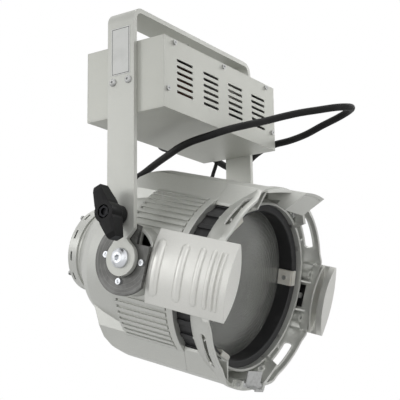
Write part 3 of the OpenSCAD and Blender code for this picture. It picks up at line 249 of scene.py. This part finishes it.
def turned_disc(name, colour):
    """Turned steel in a dark colour that is painted shade, with rings round the tilt axis and wipe marks from
    tilting.
    """
    f = Finish(name, colour, 0.42, 0.85, edge=0.0004)
    _, y, z = f.parts(f.space)
    high = z - PIVOT.z
    away = (y * y + high * high) ** 0.5
    rings = (away * 9000.0).sine() * 0.5 + (away * 3100.0).sine() * 0.5
    cloud = f.noise(45.0, 4.0)
    rub = f.noise(1.0, 3.0, where=f.node("ShaderNodeCombineXYZ", inputs={0: away * 900.0, 1: cloud, 2: 0.0}))
    tone = f.mix(cloud.step(0.35, 0.7), colour, (0.19, 0.19, 0.185, 1))
    f.feed("Base Color", f.mix(rub.step(0.5, 0.8) * 0.5, tone, (0.36, 0.36, 0.35, 1)))
    f.feed("Roughness", (0.30 + rub * 0.22 + cloud * 0.10).clamp())
    return f.bump(rings * 0.6 + rub * 0.4, 0.00004, 0.8)


def moulded(name, colour, rough, grain=1500.0, depth=0.00007):
    """Glass-filled plastic with a spark-eroded skin, greyer along rubbed edges."""
    f = Finish(name, colour, rough, fixed=[("Specular IOR Level", 0.15)], edge=0.0008)
    skin = f.cells(grain, "SMOOTH_F1")
    dust = f.noise(30.0, 5.0, 0.65)
    tone = f.mix(dust.step(0.5, 0.8) * 0.5, colour, shifted(colour, plus=0.010))
    f.feed("Base Color", f.mix(f.worn() * 0.6, tone, shifted(colour, plus=0.035)))
    f.feed("Roughness", (rough - 0.04 + dust * 0.14 - skin * 0.05).clamp())
    return f.bump(skin, depth, 0.7)


def pale_plastic(name, colour, shade, rough=0.42):
    """White rubber, nylon or glaze that lets a little light in."""
    inside = [("Subsurface Weight", 0.08), ("Subsurface Radius", (0.004, 0.003, 0.002))]
    f = Finish(name, colour, rough, fixed=inside, edge=0.0005)
    cloud = f.noise(60.0, 4.0)
    speck = f.cells(1400.0)
    f.feed("Base Color", f.mix(cloud.step(0.35, 0.7) * 0.7, colour, shade))
    f.feed("Roughness", (rough - 0.05 + cloud * 0.12 + speck * 0.05).clamp())
    return f.bump(speck * 0.4 + cloud * 0.6, 0.00004, 0.5)


def lens_pane():
    """Pressed heat-proof glass with fine rings and a stipple."""
    f = Finish("pressed_lens_glass", (0.60, 0.62, 0.59, 1), 0.22,
               fixed=[("Transmission Weight", 0.80), ("IOR", 1.47)])
    x, v, _ = f.on_head()
    away = (x * x + v * v) ** 0.5
    rings = (away * 1250.0).sine()
    stipple = f.cells(520.0, "SMOOTH_F1")
    haze = f.noise(18.0, 4.0)
    f.feed("Base Color", f.mix(haze.step(0.3, 0.75), (0.50, 0.51, 0.48, 1), (0.72, 0.73, 0.69, 1)))
    f.feed("Roughness", (0.14 + haze * 0.20).clamp())
    return f.bump(rings * 0.35 + stipple * 0.65, 0.00022, 0.9, edges=False)


def clear_glass():
    """The lamp's bulb, with a faint film."""
    f = Finish("lamp_glass", (0.93, 0.95, 0.95, 1), 0.04, fixed=[("Transmission Weight", 0.95), ("IOR", 1.46)])
    film = f.noise(90.0, 3.0)
    f.feed("Roughness", (0.02 + film * 0.06).clamp())
    return f.bump(film, 0.00004, 0.4, edges=False)


def bright_reflector():
    """Spun and dimpled aluminium, with the spinning marks round the lens axis."""
    bright, dull = (0.86, 0.87, 0.88, 1), (0.70, 0.70, 0.70, 1)
    f = Finish("spun_reflector", bright, 0.18, 1.0)
    _, _, s = f.on_head()
    spun = (s * 2600.0).sine()
    dents = f.cells(160.0, "SMOOTH_F1")
    f.feed("Base Color", f.mix(f.noise(25.0).step(0.4, 0.7) * 0.3, bright, dull))
    f.feed("Roughness", (0.12 + dents * 0.18).clamp())
    return f.bump(spun * 0.3 + dents * 0.7, 0.00010, 0.6, edges=False)


def rubber_jacket(name, colour, diameter, braided):
    """A cord's skin read on its own map: U once round, V in metres along."""
    f = Finish(name, colour, 0.62, fixed=[("Specular IOR Level", 0.25)])
    u, v, _ = f.parts(f.node("ShaderNodeUVMap", dict(uv_map="jacket")))
    turn = 2 * math.pi
    along = v / (math.pi * diameter)  # counts one for each length equal to the way round
    wear = f.noise(55.0, 5.0, 0.6)
    if braided:
        one = (along * turn * 9 + u * turn * 7).sine()
        two = (along * turn * 9 - u * turn * 7).sine()
        weave = (one * two) * 0.5 + 0.5
    else:
        weave = (along * turn * 4).sine() * 0.15 + f.cells(1500.0) * 0.6
    tone = f.mix(weave.step(0.2, 0.9), shifted(colour, 0.55), colour)
    f.feed("Base Color", f.mix(wear.step(0.5, 0.75) * 0.6, tone, shifted(colour, 2.1, 0.006)))
    f.feed("Roughness", (0.50 + wear * 0.16 + weave * 0.08).clamp())
    return f.bump(weave, 0.00022, 0.8, edges=False)


def lens_ring_paint():
    """Black stoved enamel, rubbed through to grey on the grip teeth."""
    black, rubbed, bare = (0.012, 0.012, 0.013, 1), (0.05, 0.05, 0.052, 1), (0.14, 0.14, 0.14, 1)
    f = Finish("black_ring_enamel", black, 0.5, edge=0.0007)
    drift = f.noise(70.0, 5.0, 0.6)
    grain = f.noise(1300.0, 2.0)
    tone = f.mix(drift.step(0.5, 0.8) * 0.6, black, rubbed)
    f.feed("Base Color", f.mix(f.worn() * 0.55, tone, bare))
    f.feed("Roughness", (0.36 + drift * 0.22 + grain * 0.08).clamp())
    return f.bump(grain, 0.00008, 0.6)


def winding_wire():
    """Copper wire under dark brown enamel."""
    brown, dark = (0.15, 0.05, 0.022, 1), (0.09, 0.03, 0.014, 1)
    f = Finish("enamelled_copper", brown, 0.36, 0.6, edge=0.0003)
    cloud = f.noise(300.0, 3.0)
    f.feed("Base Color", f.mix(cloud.step(0.4, 0.7), brown, dark))
    f.feed("Roughness", (0.22 + cloud * 0.2).clamp())
    return f.bump(cloud, 0.00005, 0.4)


def core_plates():
    """Stacked silicon-steel plates, edge-on along Y, with a little rust."""
    plate = 0.0005
    f = Finish("core_plates", (0.10, 0.10, 0.105, 1), 0.55, 0.6, edge=0.0004)
    _, y, _ = f.parts(f.space)
    seam = (y * (2 * math.pi / plate)).sine()
    rust = f.noise(70.0, 5.0, 0.65)
    tone = f.mix(seam.step(-0.2, 0.9), (0.045, 0.045, 0.048, 1), (0.13, 0.13, 0.135, 1))
    f.feed("Base Color", f.mix(rust.step(0.55, 0.75) * 0.5, tone, (0.13, 0.06, 0.03, 1)))
    f.feed("Roughness", (0.42 + rust * 0.3).clamp())
    return f.bump(seam * 0.7 + rust * 0.3, 0.0001, 0.7)


def blank_film():
    """Pale label film with a thin dark border, left bare inside it."""
    white, aged, ink = paint(244, 245, 242), paint(228, 230, 226), paint(70, 72, 72)
    middle, half_wide, half_tall = -0.054, 0.0125, 0.0285
    past, fade, line, core = 0.0006, 0.0003, 0.00042, 0.00028
    f = Finish("label_film", white, 0.34, edge=0.0002)
    _, y, z = f.parts(f.space)
    wide, tall = y.size(), (z - middle).size()
    side, ends = (wide - half_wide).size(), (tall - half_tall).size()
    inside = (wide.step(half_wide + past, half_wide + fade)
              * tall.step(half_tall + past, half_tall + fade))
    border = (side.step(line, core) + ends.step(line, core)).clamp() * inside
    age = f.noise(60.0, 4.0)
    f.feed("Base Color", f.mix(border, f.mix(age.step(0.4, 0.75) * 0.6, white, aged), ink))
    f.feed("Roughness", (0.28 + age * 0.16).clamp())
    return f.bump(f.noise(900.0, 2.0), 0.00003, 0.5)


LAMP_LEAD, EARTH_LEAD = 0.0094, 0.0054  # diameters over the jackets

SILVER = cast_paint("cast_silver_paint", paint(214, 215, 210), paint(200, 201, 196))
# The side covers take a lighter copy of the housing's silver paint: painted light on the covers that face the
# lamps.
LIT_COVER_SILVER = cast_paint("cover_silver_paint", paint(232, 232, 227), paint(222, 222, 217),
                          metal=0.55, rough=0.31, edge=0.0016)
BOX = sheet_paint("box_powder_coat", paint(200, 201, 194), paint(191, 192, 185))
YOKE = sheet_paint("yoke_powder_coat", paint(204, 205, 199), paint(194, 195, 189))
ZINC = plated("bright_zinc", (0.72, 0.74, 0.77, 1))
DULL_ZINC = plated("dull_zinc", (0.50, 0.505, 0.50, 1), 0.36)
# Near black as painted shade: the lock nut, stud and thread sit in the lock knob's shaded recess.
RECESS_SHADE_STEEL = plated("blacked_steel", (0.022, 0.022, 0.024, 1), 0.36, (0.05, 0.05, 0.05, 1))
SPRING = plated("spring_steel", (0.50, 0.51, 0.52, 1), 0.30)
CAN = plated("drawn_aluminium_can", (0.55, 0.56, 0.57, 1), 0.36)
# The pivot disc's very dark colour is painted shade, for a plate lit less than the parts round it.
SHADE_DARK_DISC = turned_disc("turned_disc_steel", (0.115, 0.115, 0.11, 1))
KNOB = moulded("black_knob_plastic", (0.008, 0.008, 0.0085, 1), 0.40)
GLAND = moulded("black_gland_nylon", (0.015, 0.015, 0.016, 1), 0.36, 2200.0, 0.00003)
CLIP = pale_plastic("white_silicone", paint(226, 224, 216), paint(205, 202, 192), 0.48)
NYLON = pale_plastic("white_nylon", paint(222, 221, 214), paint(205, 203, 196))
CERAMIC = pale_plastic("glazed_ceramic", paint(228, 224, 212), paint(206, 200, 186), 0.24)
COPPER = winding_wire()
LAMP_JACKET = rubber_jacket("lamp_lead_jacket", (0.011, 0.011, 0.011, 1), LAMP_LEAD, True)
EARTH_JACKET = rubber_jacket("earth_lead_jacket", (0.014, 0.014, 0.014, 1), EARTH_LEAD, False)

WEARS = {
    SILVER: "housing front_ring rear_cap",
    LIT_COVER_SILVER: "side_cover_left side_cover_right",
    BOX: "box_chassis box_cover",
    YOKE: "yoke",
    ZINC: "pivot_bolts rear_stud disc_screws lamp_pins",
    DULL_ZINC: "box_screws box_nuts cover_screws terminal_screws component_bolts component_nuts inlet_pins "
               "pivot_washers pivot_nuts ring_screws clip_screws bracket_screws reflector_screws "
               "holder_posts holder_plate cap_screws capacitor_clip brake_shoe frame_latch latch_pin",
    # lock nut and stud near black as painted shade of the knob's recess
    RECESS_SHADE_STEEL: "lock_nut lock_stud",
    SPRING: "lens_spring",
    CAN: "capacitor",
    SHADE_DARK_DISC: "pivot_discs",
    KNOB: "lock_knob rear_knob cover_brackets",
    GLAND: "mains_inlet lead_gland lead_gland_nut earth_grommet head_glands",
    CLIP: "lens_clips",
    NYLON: "ignitor terminal_block",
    CERAMIC: "lampholder lamp_base lamp_burner",
    COPPER: "ballast_winding",
    lens_ring_paint(): "lens_ring",
    core_plates(): "ballast_core",
    blank_film(): "blank_plate",
    lens_pane(): "lens",
    clear_glass(): "lamp_bulb",
    bright_reflector(): "reflector",
}
for material, names in WEARS.items():
    for name in names.split():
        for place in NODES[name].material_slots:
            place.material = material


# ---- pieces ----

def add_piece(name, mesh, body, material):
    """A piece in one material, on a body if one is given."""
    piece = put(name, mesh)
    mesh.materials.clear()
    mesh.materials.append(material)
    if body:
        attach(piece, body)
    return piece


def settled(whole, name):
    """A bmesh as a mesh with smooth faces."""
    mesh = bpy.data.meshes.new(name)
    whole.to_mesh(mesh)
    whole.free()
    mesh.polygons.foreach_set("use_smooth", [True] * len(mesh.polygons))
    return mesh


# ---- cords ----

def between(a, b, c, d, t):
    """A point on the smooth curve from b to c, which comes from a and goes on to d."""
    return 0.5 * (2 * b + (c - a) * t + (2 * a - 5 * b + 4 * c - d) * t * t + (3 * b - a - 3 * c + d) * t ** 3)


def smooth(points, steps):
    """A curve through points, with steps parts from each to the next."""
    last = len(points) - 1
    at = lambda i: points[max(0, min(last, i))]
    line = [between(at(i - 1), at(i), at(i + 1), at(i + 2), k / steps) for i in range(last) for k in range(steps)]
    return line + [points[-1]]


def jacket(name, line, radius, sides):
    """A closed round tube along line, with its own map for the jacket's weave."""
    ways = [(line[min(i + 1, len(line) - 1)] - line[max(i - 1, 0)]).normalized() for i in range(len(line))]
    out = Vector((0, 0, 1))
    points, lengths, along = [], [], 0.0
    for i, (point, way) in enumerate(zip(line, ways)):
        out = (out - way * out.dot(way)).normalized()
        across = way.cross(out)
        points += [point + radius * (math.cos(a) * out + math.sin(a) * across)
                   for a in (2 * math.pi * k / sides for k in range(sides))]
        along += (point - line[i - 1]).length if i else 0.0
        lengths.append(along)
    faces, marks = [], []
    for i in range(len(line) - 1):
        here, there = i * sides, (i + 1) * sides
        for k in range(sides):
            n = (k + 1) % sides
            faces.append((here + n, there + n, there + k, here + k))
            marks += [((k + 1) / sides, lengths[i]), ((k + 1) / sides, lengths[i + 1]),
                      (k / sides, lengths[i + 1]), (k / sides, lengths[i])]
    end = (len(line) - 1) * sides
    faces += [tuple(range(sides))[::-1], tuple(end + k for k in range(sides))]
    marks += [(0.5, 0.0)] * sides + [(0.5, along)] * sides
    mesh = bpy.data.meshes.new(name)
    mesh.from_pydata(points, [], faces)
    layer = mesh.uv_layers.new(name="jacket")
    for place, mark in zip(layer.data, marks):
        place.uv = mark
    mesh.polygons.foreach_set("use_smooth", [True] * len(faces))
    mesh.validate()
    return mesh


# The leads' routes in millimetres, from the box to the rear cap, as the part's source has them.
LAMP_ROUTE = [
    (104, 70, -98), (104, 84, -98), (104, 101, -98), (108, 116, -98), (118.5, 126.5, -98), (133, 130.5, -98),
    (148, 126.5, -98), (158.5, 115.5, -98.5), (163, 100, -100.5), (166, 84, -106), (168, 68, -115),
    (168, 52, -127), (166, 36, -135.5), (162.5, 19, -137), (159, 3, -132.5), (155, -13, -125),
    (152, -30, -119.5), (150, -49, -117), (150, -71, -115.5), (150, -96, -111), (150, -121, -103),
    (149, -145, -96.5), (142, -164, -93), (126, -177.5, -94), (108, -179, -97.5), (91, -171, -101),
    (79, -154, -104), (67, -132, -107), (51, -115, -113), (31, -102, -121), (7, -90, -129.5),
    (-15, -75, -138), (-29, -55, -146), (-32, -32, -150), (-26, -8, -153), (-13, 16, -155), (0, 40, -157),
    (11, 64, -161), (18, 84, -166), (20.8, 101, -170.5), (21, 110.7, -176), (21, 116.7, -182.7),
    (21, 119.4, -189), (21, 120.9, -194.4), (21, 122.6, -200.1)]
EARTH_ROUTE = [
    (132, 45, -118), (139, 45, -118), (145.5, 46, -119.5), (150.5, 49.3, -124.5), (152.4, 53.3, -132.5),
    (150, 55.5, -142), (145.5, 56, -151), (138, 60, -160), (127, 68, -167), (114, 78, -171.5), (99, 89, -174),
    (84, 99, -175), (69, 107, -174.3), (56, 112.5, -174), (46, 114.8, -176.3), (40.3, 117, -183),
    (39, 119.3, -189.3), (39, 121.5, -196.3), (39, 123.7, -204)]


def lay_cord(name, node, route, diameter, sides, material):
    """A lead along its route, in place of its node and on no body."""
    points = [Vector(p) / 1000 for p in route]
    line = smooth(points, 5)
    length = sum((b - a).length for a, b in zip(line, line[1:]))
    piece = add_piece(name, jacket(name, line, diameter / 2, sides), None, material)
    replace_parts(piece, node)
    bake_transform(piece)


lay_cord("lamp_lead_cord", "lamp_lead", LAMP_ROUTE, LAMP_LEAD, 24, LAMP_JACKET)
lay_cord("earth_lead_cord", "earth_lead", EARTH_ROUTE, EARTH_LEAD, 16, EARTH_JACKET)


# ---- repeated pieces ----

class Recipe(Tree):
    """A Geometry Nodes tree with named number inputs."""

    def __init__(self, name, **sizes):
        super().__init__(bpy.data.node_groups.new(name, "GeometryNodeTree"))
        self.sizes, self.keys = sizes, {}
        for key, value in sizes.items():
            kind = "NodeSocketInt" if isinstance(value, int) else "NodeSocketFloat"
            made = self.tree.interface.new_socket(key, in_out="INPUT", socket_type=kind)
            made.default_value = value
            self.keys[key] = made.identifier
        self.tree.interface.new_socket("Geometry", in_out="OUTPUT", socket_type="NodeSocketGeometry")
        self.entry = self.tree.nodes.new("NodeGroupInput")

    def __getitem__(self, key):
        return Link(self, self.entry.outputs[key])

    def close(self, result):
        """End the tree with real geometry in one material."""
        whole = self.node("GeometryNodeRealizeInstances", inputs={0: result})
        dressed = self.node("GeometryNodeSetMaterial", inputs={0: whole})
        self.surface = dressed.socket.node
        self.tree.links.new(dressed.socket, self.tree.nodes.new("NodeGroupOutput").inputs[0])
        return self

    def make(self, material, place, **sizes):
        """The recipe's mesh with these sizes, moved to place."""
        self.surface.inputs["Material"].default_value = material
        holder = put("holder", bpy.data.meshes.new("holder"))
        modifier = holder.modifiers.new("recipe", "NODES")
        modifier.node_group = self.tree
        for key, value in {**self.sizes, **sizes}.items():
            modifier[self.keys[key]] = value
        ready = holder.evaluated_get(bpy.context.evaluated_depsgraph_get())
        mesh = bpy.data.meshes.new_from_object(ready)
        holder.modifiers.clear()
        bpy.data.objects.remove(holder)
        mesh.transform(place)
        return mesh


def turn_recipe():
    """Wire turns side by side along +Z round a limb with rounded corners."""
    r = Recipe("wire_turns", Turns=8, Pitch=0.001, Wide=0.02, Deep=0.02, Corner=0.001, Wire=0.0004)
    step = r.node("ShaderNodeCombineXYZ", inputs={2: r["Pitch"]})
    row = r.node("GeometryNodeMeshLine", dict(mode="OFFSET"), {"Count": r["Turns"], "Offset": step})
    loop = r.node("GeometryNodeCurvePrimitiveQuadrilateral", inputs={"Width": r["Wide"], "Height": r["Deep"]})
    loop = r.node("GeometryNodeFilletCurve", dict(mode="POLY"),
                  {"Curve": loop, "Count": 8, "Radius": r["Corner"], "Limit Radius": True})
    wire = r.node("GeometryNodeCurvePrimitiveCircle", inputs={"Resolution": 8, "Radius": r["Wire"]})
    turn = r.node("GeometryNodeCurveToMesh", inputs={"Curve": loop, "Profile Curve": wire})
    return r.close(r.node("GeometryNodeInstanceOnPoints", inputs={"Points": row, "Instance": turn}))


def crest_recipe():
    """A rounded rib that follows a drum's skin round its axis: X out, Y round, Z along the axis."""
    r = Recipe("rib_crest", Drum=0.123, Long=0.0665, Mid=0.0, Wide=0.010, High=0.0024, Side=1.0)
    margin, sunk, root = 0.001, 0.0006, 0.001
    block = r.node("GeometryNodeMeshCube", inputs={
        "Vertices X": 72, "Vertices Y": 22, "Vertices Z": 2, "Size": (1, 1, 1)})
    u, w, top = r.parts(r.node("GeometryNodeInputPosition"))
    run, across = u * (r["Long"] + margin), w * (r["Wide"] + margin)
    past = (run.size() - (r["Long"] - r["Wide"]) * 0.5).at_least(0.0)
    reach = (past * past + across * across) ** 0.5
    swell = (1 - (reach / (r["Wide"] * 0.5)) ** 2.6).at_least(0.0) ** 0.5
    high = (top + 0.5) * (swell * (r["High"] + sunk)) - sunk - (0.5 - top) * root
    out, aside = r["Drum"] + high, run + r["Mid"]
    x = ((out * out - aside * aside) ** 0.5) * r["Side"]
    placed = r.node("ShaderNodeCombineXYZ", inputs={0: x, 1: aside, 2: across})
    return r.close(r.node("GeometryNodeSetPosition", inputs={"Geometry": block, "Position": placed}))


def joined(name, material, places, body, recipe):
    """One recipe made at several places, as one piece on one body."""
    whole = bmesh.new()
    for place, sizes in places:
        whole.from_mesh(recipe.make(material, place, **sizes))
    bmesh.ops.remove_doubles(whole, verts=whole.verts, dist=0.000001)
    bmesh.ops.recalc_face_normals(whole, faces=whole.faces)
    mesh = settled(whole, name)
    mesh.polygons.foreach_set("material_index", [0] * len(mesh.polygons))
    add_piece(name, mesh, body, material)


def upright(axis, point):
    """A place whose +Z runs along axis, from point in millimetres."""
    return Matrix.Translation(Vector(point) / 1000) @ Vector(axis).to_track_quat("Z", "Y").to_matrix().to_4x4()


def round_turns(axis, point, radius, wire, turns=1, pitch=1.0):
    """The place and sizes of round turns, from millimetres."""
    return upright(axis, point), dict(Turns=turns, Pitch=pitch / 1000, Wide=2 * radius / 1000,
                                      Deep=2 * radius / 1000, Corner=radius / 1000, Wire=wire / 1000)


TURNS, CREST = turn_recipe(), crest_recipe()

# Each embossed rib's place along the lens axis and its width, in millimetres.
RIBS = ((44.5, 13), (78.5, 10.6), (102.6, 7.8), (118.2, 5.6), (127.2, 4), (133.4, 3.2))
RIB_MIDDLE = -0.00125
# The ribs share the side covers' lighter silver, which is painted light.
for side, label in ((-1.0, "left"), (1.0, "right")):
    joined("cover_ribs_" + label, LIT_COVER_SILVER, [
        (HEAD @ Matrix.Translation((0, 0, s / 1000)), dict(Mid=RIB_MIDDLE, Wide=wide / 1000, Side=side))
        for s, wide in RIBS], "head", CREST)

LIMB = dict(Pitch=0.0015, Wide=0.0524, Deep=0.067, Corner=0.0012, Wire=0.00074)
joined("winding_turns", COPPER, [
    (upright((0, 0, 1), (-62.9, -2, z)), dict(Turns=turns, **LIMB))
    for z, turns in ((-98.3, 11), (-76.9, 12))], "frame", TURNS)

joined("gland_ribs", GLAND, [
    round_turns((0, 1, 0), (104, 71.6 + 2.4 * k, -98), radius=8.72 - 0.48 * k, wire=0.55)
    for k in range(4)], "frame", TURNS)

# The thread takes the same near-black painted shade as the lock stud.
joined("lock_thread", RECESS_SHADE_STEEL, [
    round_turns((1, 0, 0), (-133.2, 0, -256), radius=3.9, wire=0.34, turns=9, pitch=1.25)],
    "frame", TURNS)


# ---- front ring, in millimetres on the head ----

COLLAR_OUT, COLLAR_FOOT, COLLAR_KEEP = 103.4, 88, 0.66
RIM_FROM, RIM_FULL, RIM_TO, RIM_PULL = 91, 112, 118.5, 6
HOOD_SIDE, EAR_SIDE, WALL_SIDE = 47, 31, 24  # half widths, and how far beside them the pull comes in
WALL_TURN, WALL_REACH, WALL_START = 43, 14, 21  # degrees from level: a wall's middle, and its draw-in's span
WALL_DRAW, WALL_LOW, WALL_HIGH = 0.030, 108, 118


def ramp(value, low, high):
    """0 up to low, 1 from high on, with a soft start and end; low may be the larger."""
    t = max(0.0, min(1.0, (value - low) / (high - low)))
    return t * t * (3 - 2 * t)


def ring_form(x, v, s):
    """The inner collar ends shorter; the rims of the four slotted walls reach further and draw in."""
    out = math.hypot(x, v)
    if s > COLLAR_FOOT and out < COLLAR_OUT:
        return x, v, COLLAR_FOOT + (s - COLLAR_FOOT) * COLLAR_KEEP
    if RIM_FROM < s < RIM_TO and out > COLLAR_OUT:
        low = HOOD_SIDE if v > 0 else EAR_SIDE
        pull = ramp(s, RIM_FROM, RIM_FULL) * ramp(abs(x), low, low + WALL_SIDE)
        turn = abs(math.degrees(math.atan2(abs(v), abs(x))) - WALL_TURN)
        keep = 1 - WALL_DRAW * pull * ramp(turn, WALL_START, WALL_REACH) * ramp(out, WALL_LOW, WALL_HIGH)
        return x * keep, v * keep, s + RIM_PULL * pull
    return x, v, s


def reshaped(name, node, form, body, material):
    """A merged copy of a node's mesh with form applied, in the node's place."""
    whole = bmesh.new()
    whole.from_mesh(NODES[node].data)
    bmesh.ops.remove_doubles(whole, verts=whole.verts, dist=0.000002)
    back = HEAD.inverted()
    for vert in whole.verts:
        vert.co = HEAD @ (Vector(form(*(1000 * c for c in back @ vert.co))) / 1000)
    mesh = settled(whole, name)
    kept_normals = mesh.attributes.get("custom_normal")
    if kept_normals:
        mesh.attributes.remove(kept_normals)
    mesh.set_sharp_from_angle(angle=math.radians(28))
    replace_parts(add_piece(name, mesh, body, material), node)


reshaped("front_ring_cast", "front_ring", ring_form, "head", SILVER)


# ---- stage ----

WHITE = (1, 1, 1, 1)
SKY_LIGHT = 0.34  # what the white background gives as light; it shows at 1
FLOOR_HALF, FLOOR_HEIGHT, FLOOR_GLOW, FLOOR_SHARE = 9, -0.95, 0.93, 0.6
LIT_POINT = (0, 0, -0.22)
LAMPS = (  # name, place, width and power
    ("left_softbox", (-2.5, -0.9, -0.1), 1.5, 8),
    ("rear_softbox", (-1.7, 1.7, 0.3), 0.8, 5),
    ("front_softbox", (0.1, -2.7, -0.5), 1.5, 9),
    ("top_softbox", (0.2, 0.0, 2.2), 1.6, 14),
    ("right_softbox", (2.3, -0.6, 0.9), 0.9, 7),
)


def seen_direct(tree):
    """1 for rays from the camera, off a mirror or through glass, 0 for the light that falls on a surface."""
    rays = tree.node("ShaderNodeLightPath").socket.node.outputs
    most = Link(tree, rays["Is Camera Ray"])
    for kind in ("Is Glossy Ray", "Is Transmission Ray"):
        most = most.at_least(Link(tree, rays[kind]))
    return most


def make_sky():
    """A white background that gives a plain soft light."""
    world = bpy.data.worlds.new("studio")
    bpy.context.scene.world = world
    world.use_nodes = True
    sky = Tree(world.node_tree)
    back = world.node_tree.nodes["Background"]
    back.inputs["Color"].default_value = WHITE
    level = sky.node("ShaderNodeMapRange", inputs={"Value": seen_direct(sky), "To Min": SKY_LIGHT, "To Max": 1.0})
    world.node_tree.links.new(level.socket, back.inputs["Strength"])


def make_floor():
    """A plain pale floor that keeps the part's shadow and is see-through from below."""
    far = FLOOR_HALF
    mesh = bpy.data.meshes.new("floor")
    mesh.from_pydata([(x, y, FLOOR_HEIGHT) for x, y in ((-far, -far), (far, -far), (far, far), (-far, far))],
                     [], [(0, 1, 2, 3)])
    pale = Finish("pale_floor", (0.86, 0.86, 0.86, 1), 0.8)
    lit = pale.node("ShaderNodeEmission", inputs={"Color": WHITE, "Strength": FLOOR_GLOW})
    above = pale.node("ShaderNodeMixShader", inputs={
        0: seen_direct(pale) * FLOOR_SHARE, 1: Link(pale, pale.shader.outputs[0]), 2: lit})
    both = pale.node("ShaderNodeMixShader", inputs={
        0: pale.node("ShaderNodeNewGeometry", out="Backfacing"), 1: above,
        2: pale.node("ShaderNodeBsdfTransparent")})
    pale.tree.links.new(both.socket, pale.tree.nodes["Material Output"].inputs["Surface"])
    mesh.materials.append(pale.material)
    put("floor", mesh)


def make_lamps():
    """Soft square lamps that face the part."""
    for name, place, wide, power in LAMPS:
        data = bpy.data.lights.new(name, "AREA")
        data.size, data.energy = wide, power
        lamp = put(name, data)
        lamp.location = place
        lamp.rotation_euler = (Vector(LIT_POINT) - Vector(place)).to_track_quat("-Z", "Y").to_euler()


make_sky()
make_floor()
make_lamps()
bpy.context.scene.view_settings.view_transform = "Standard"
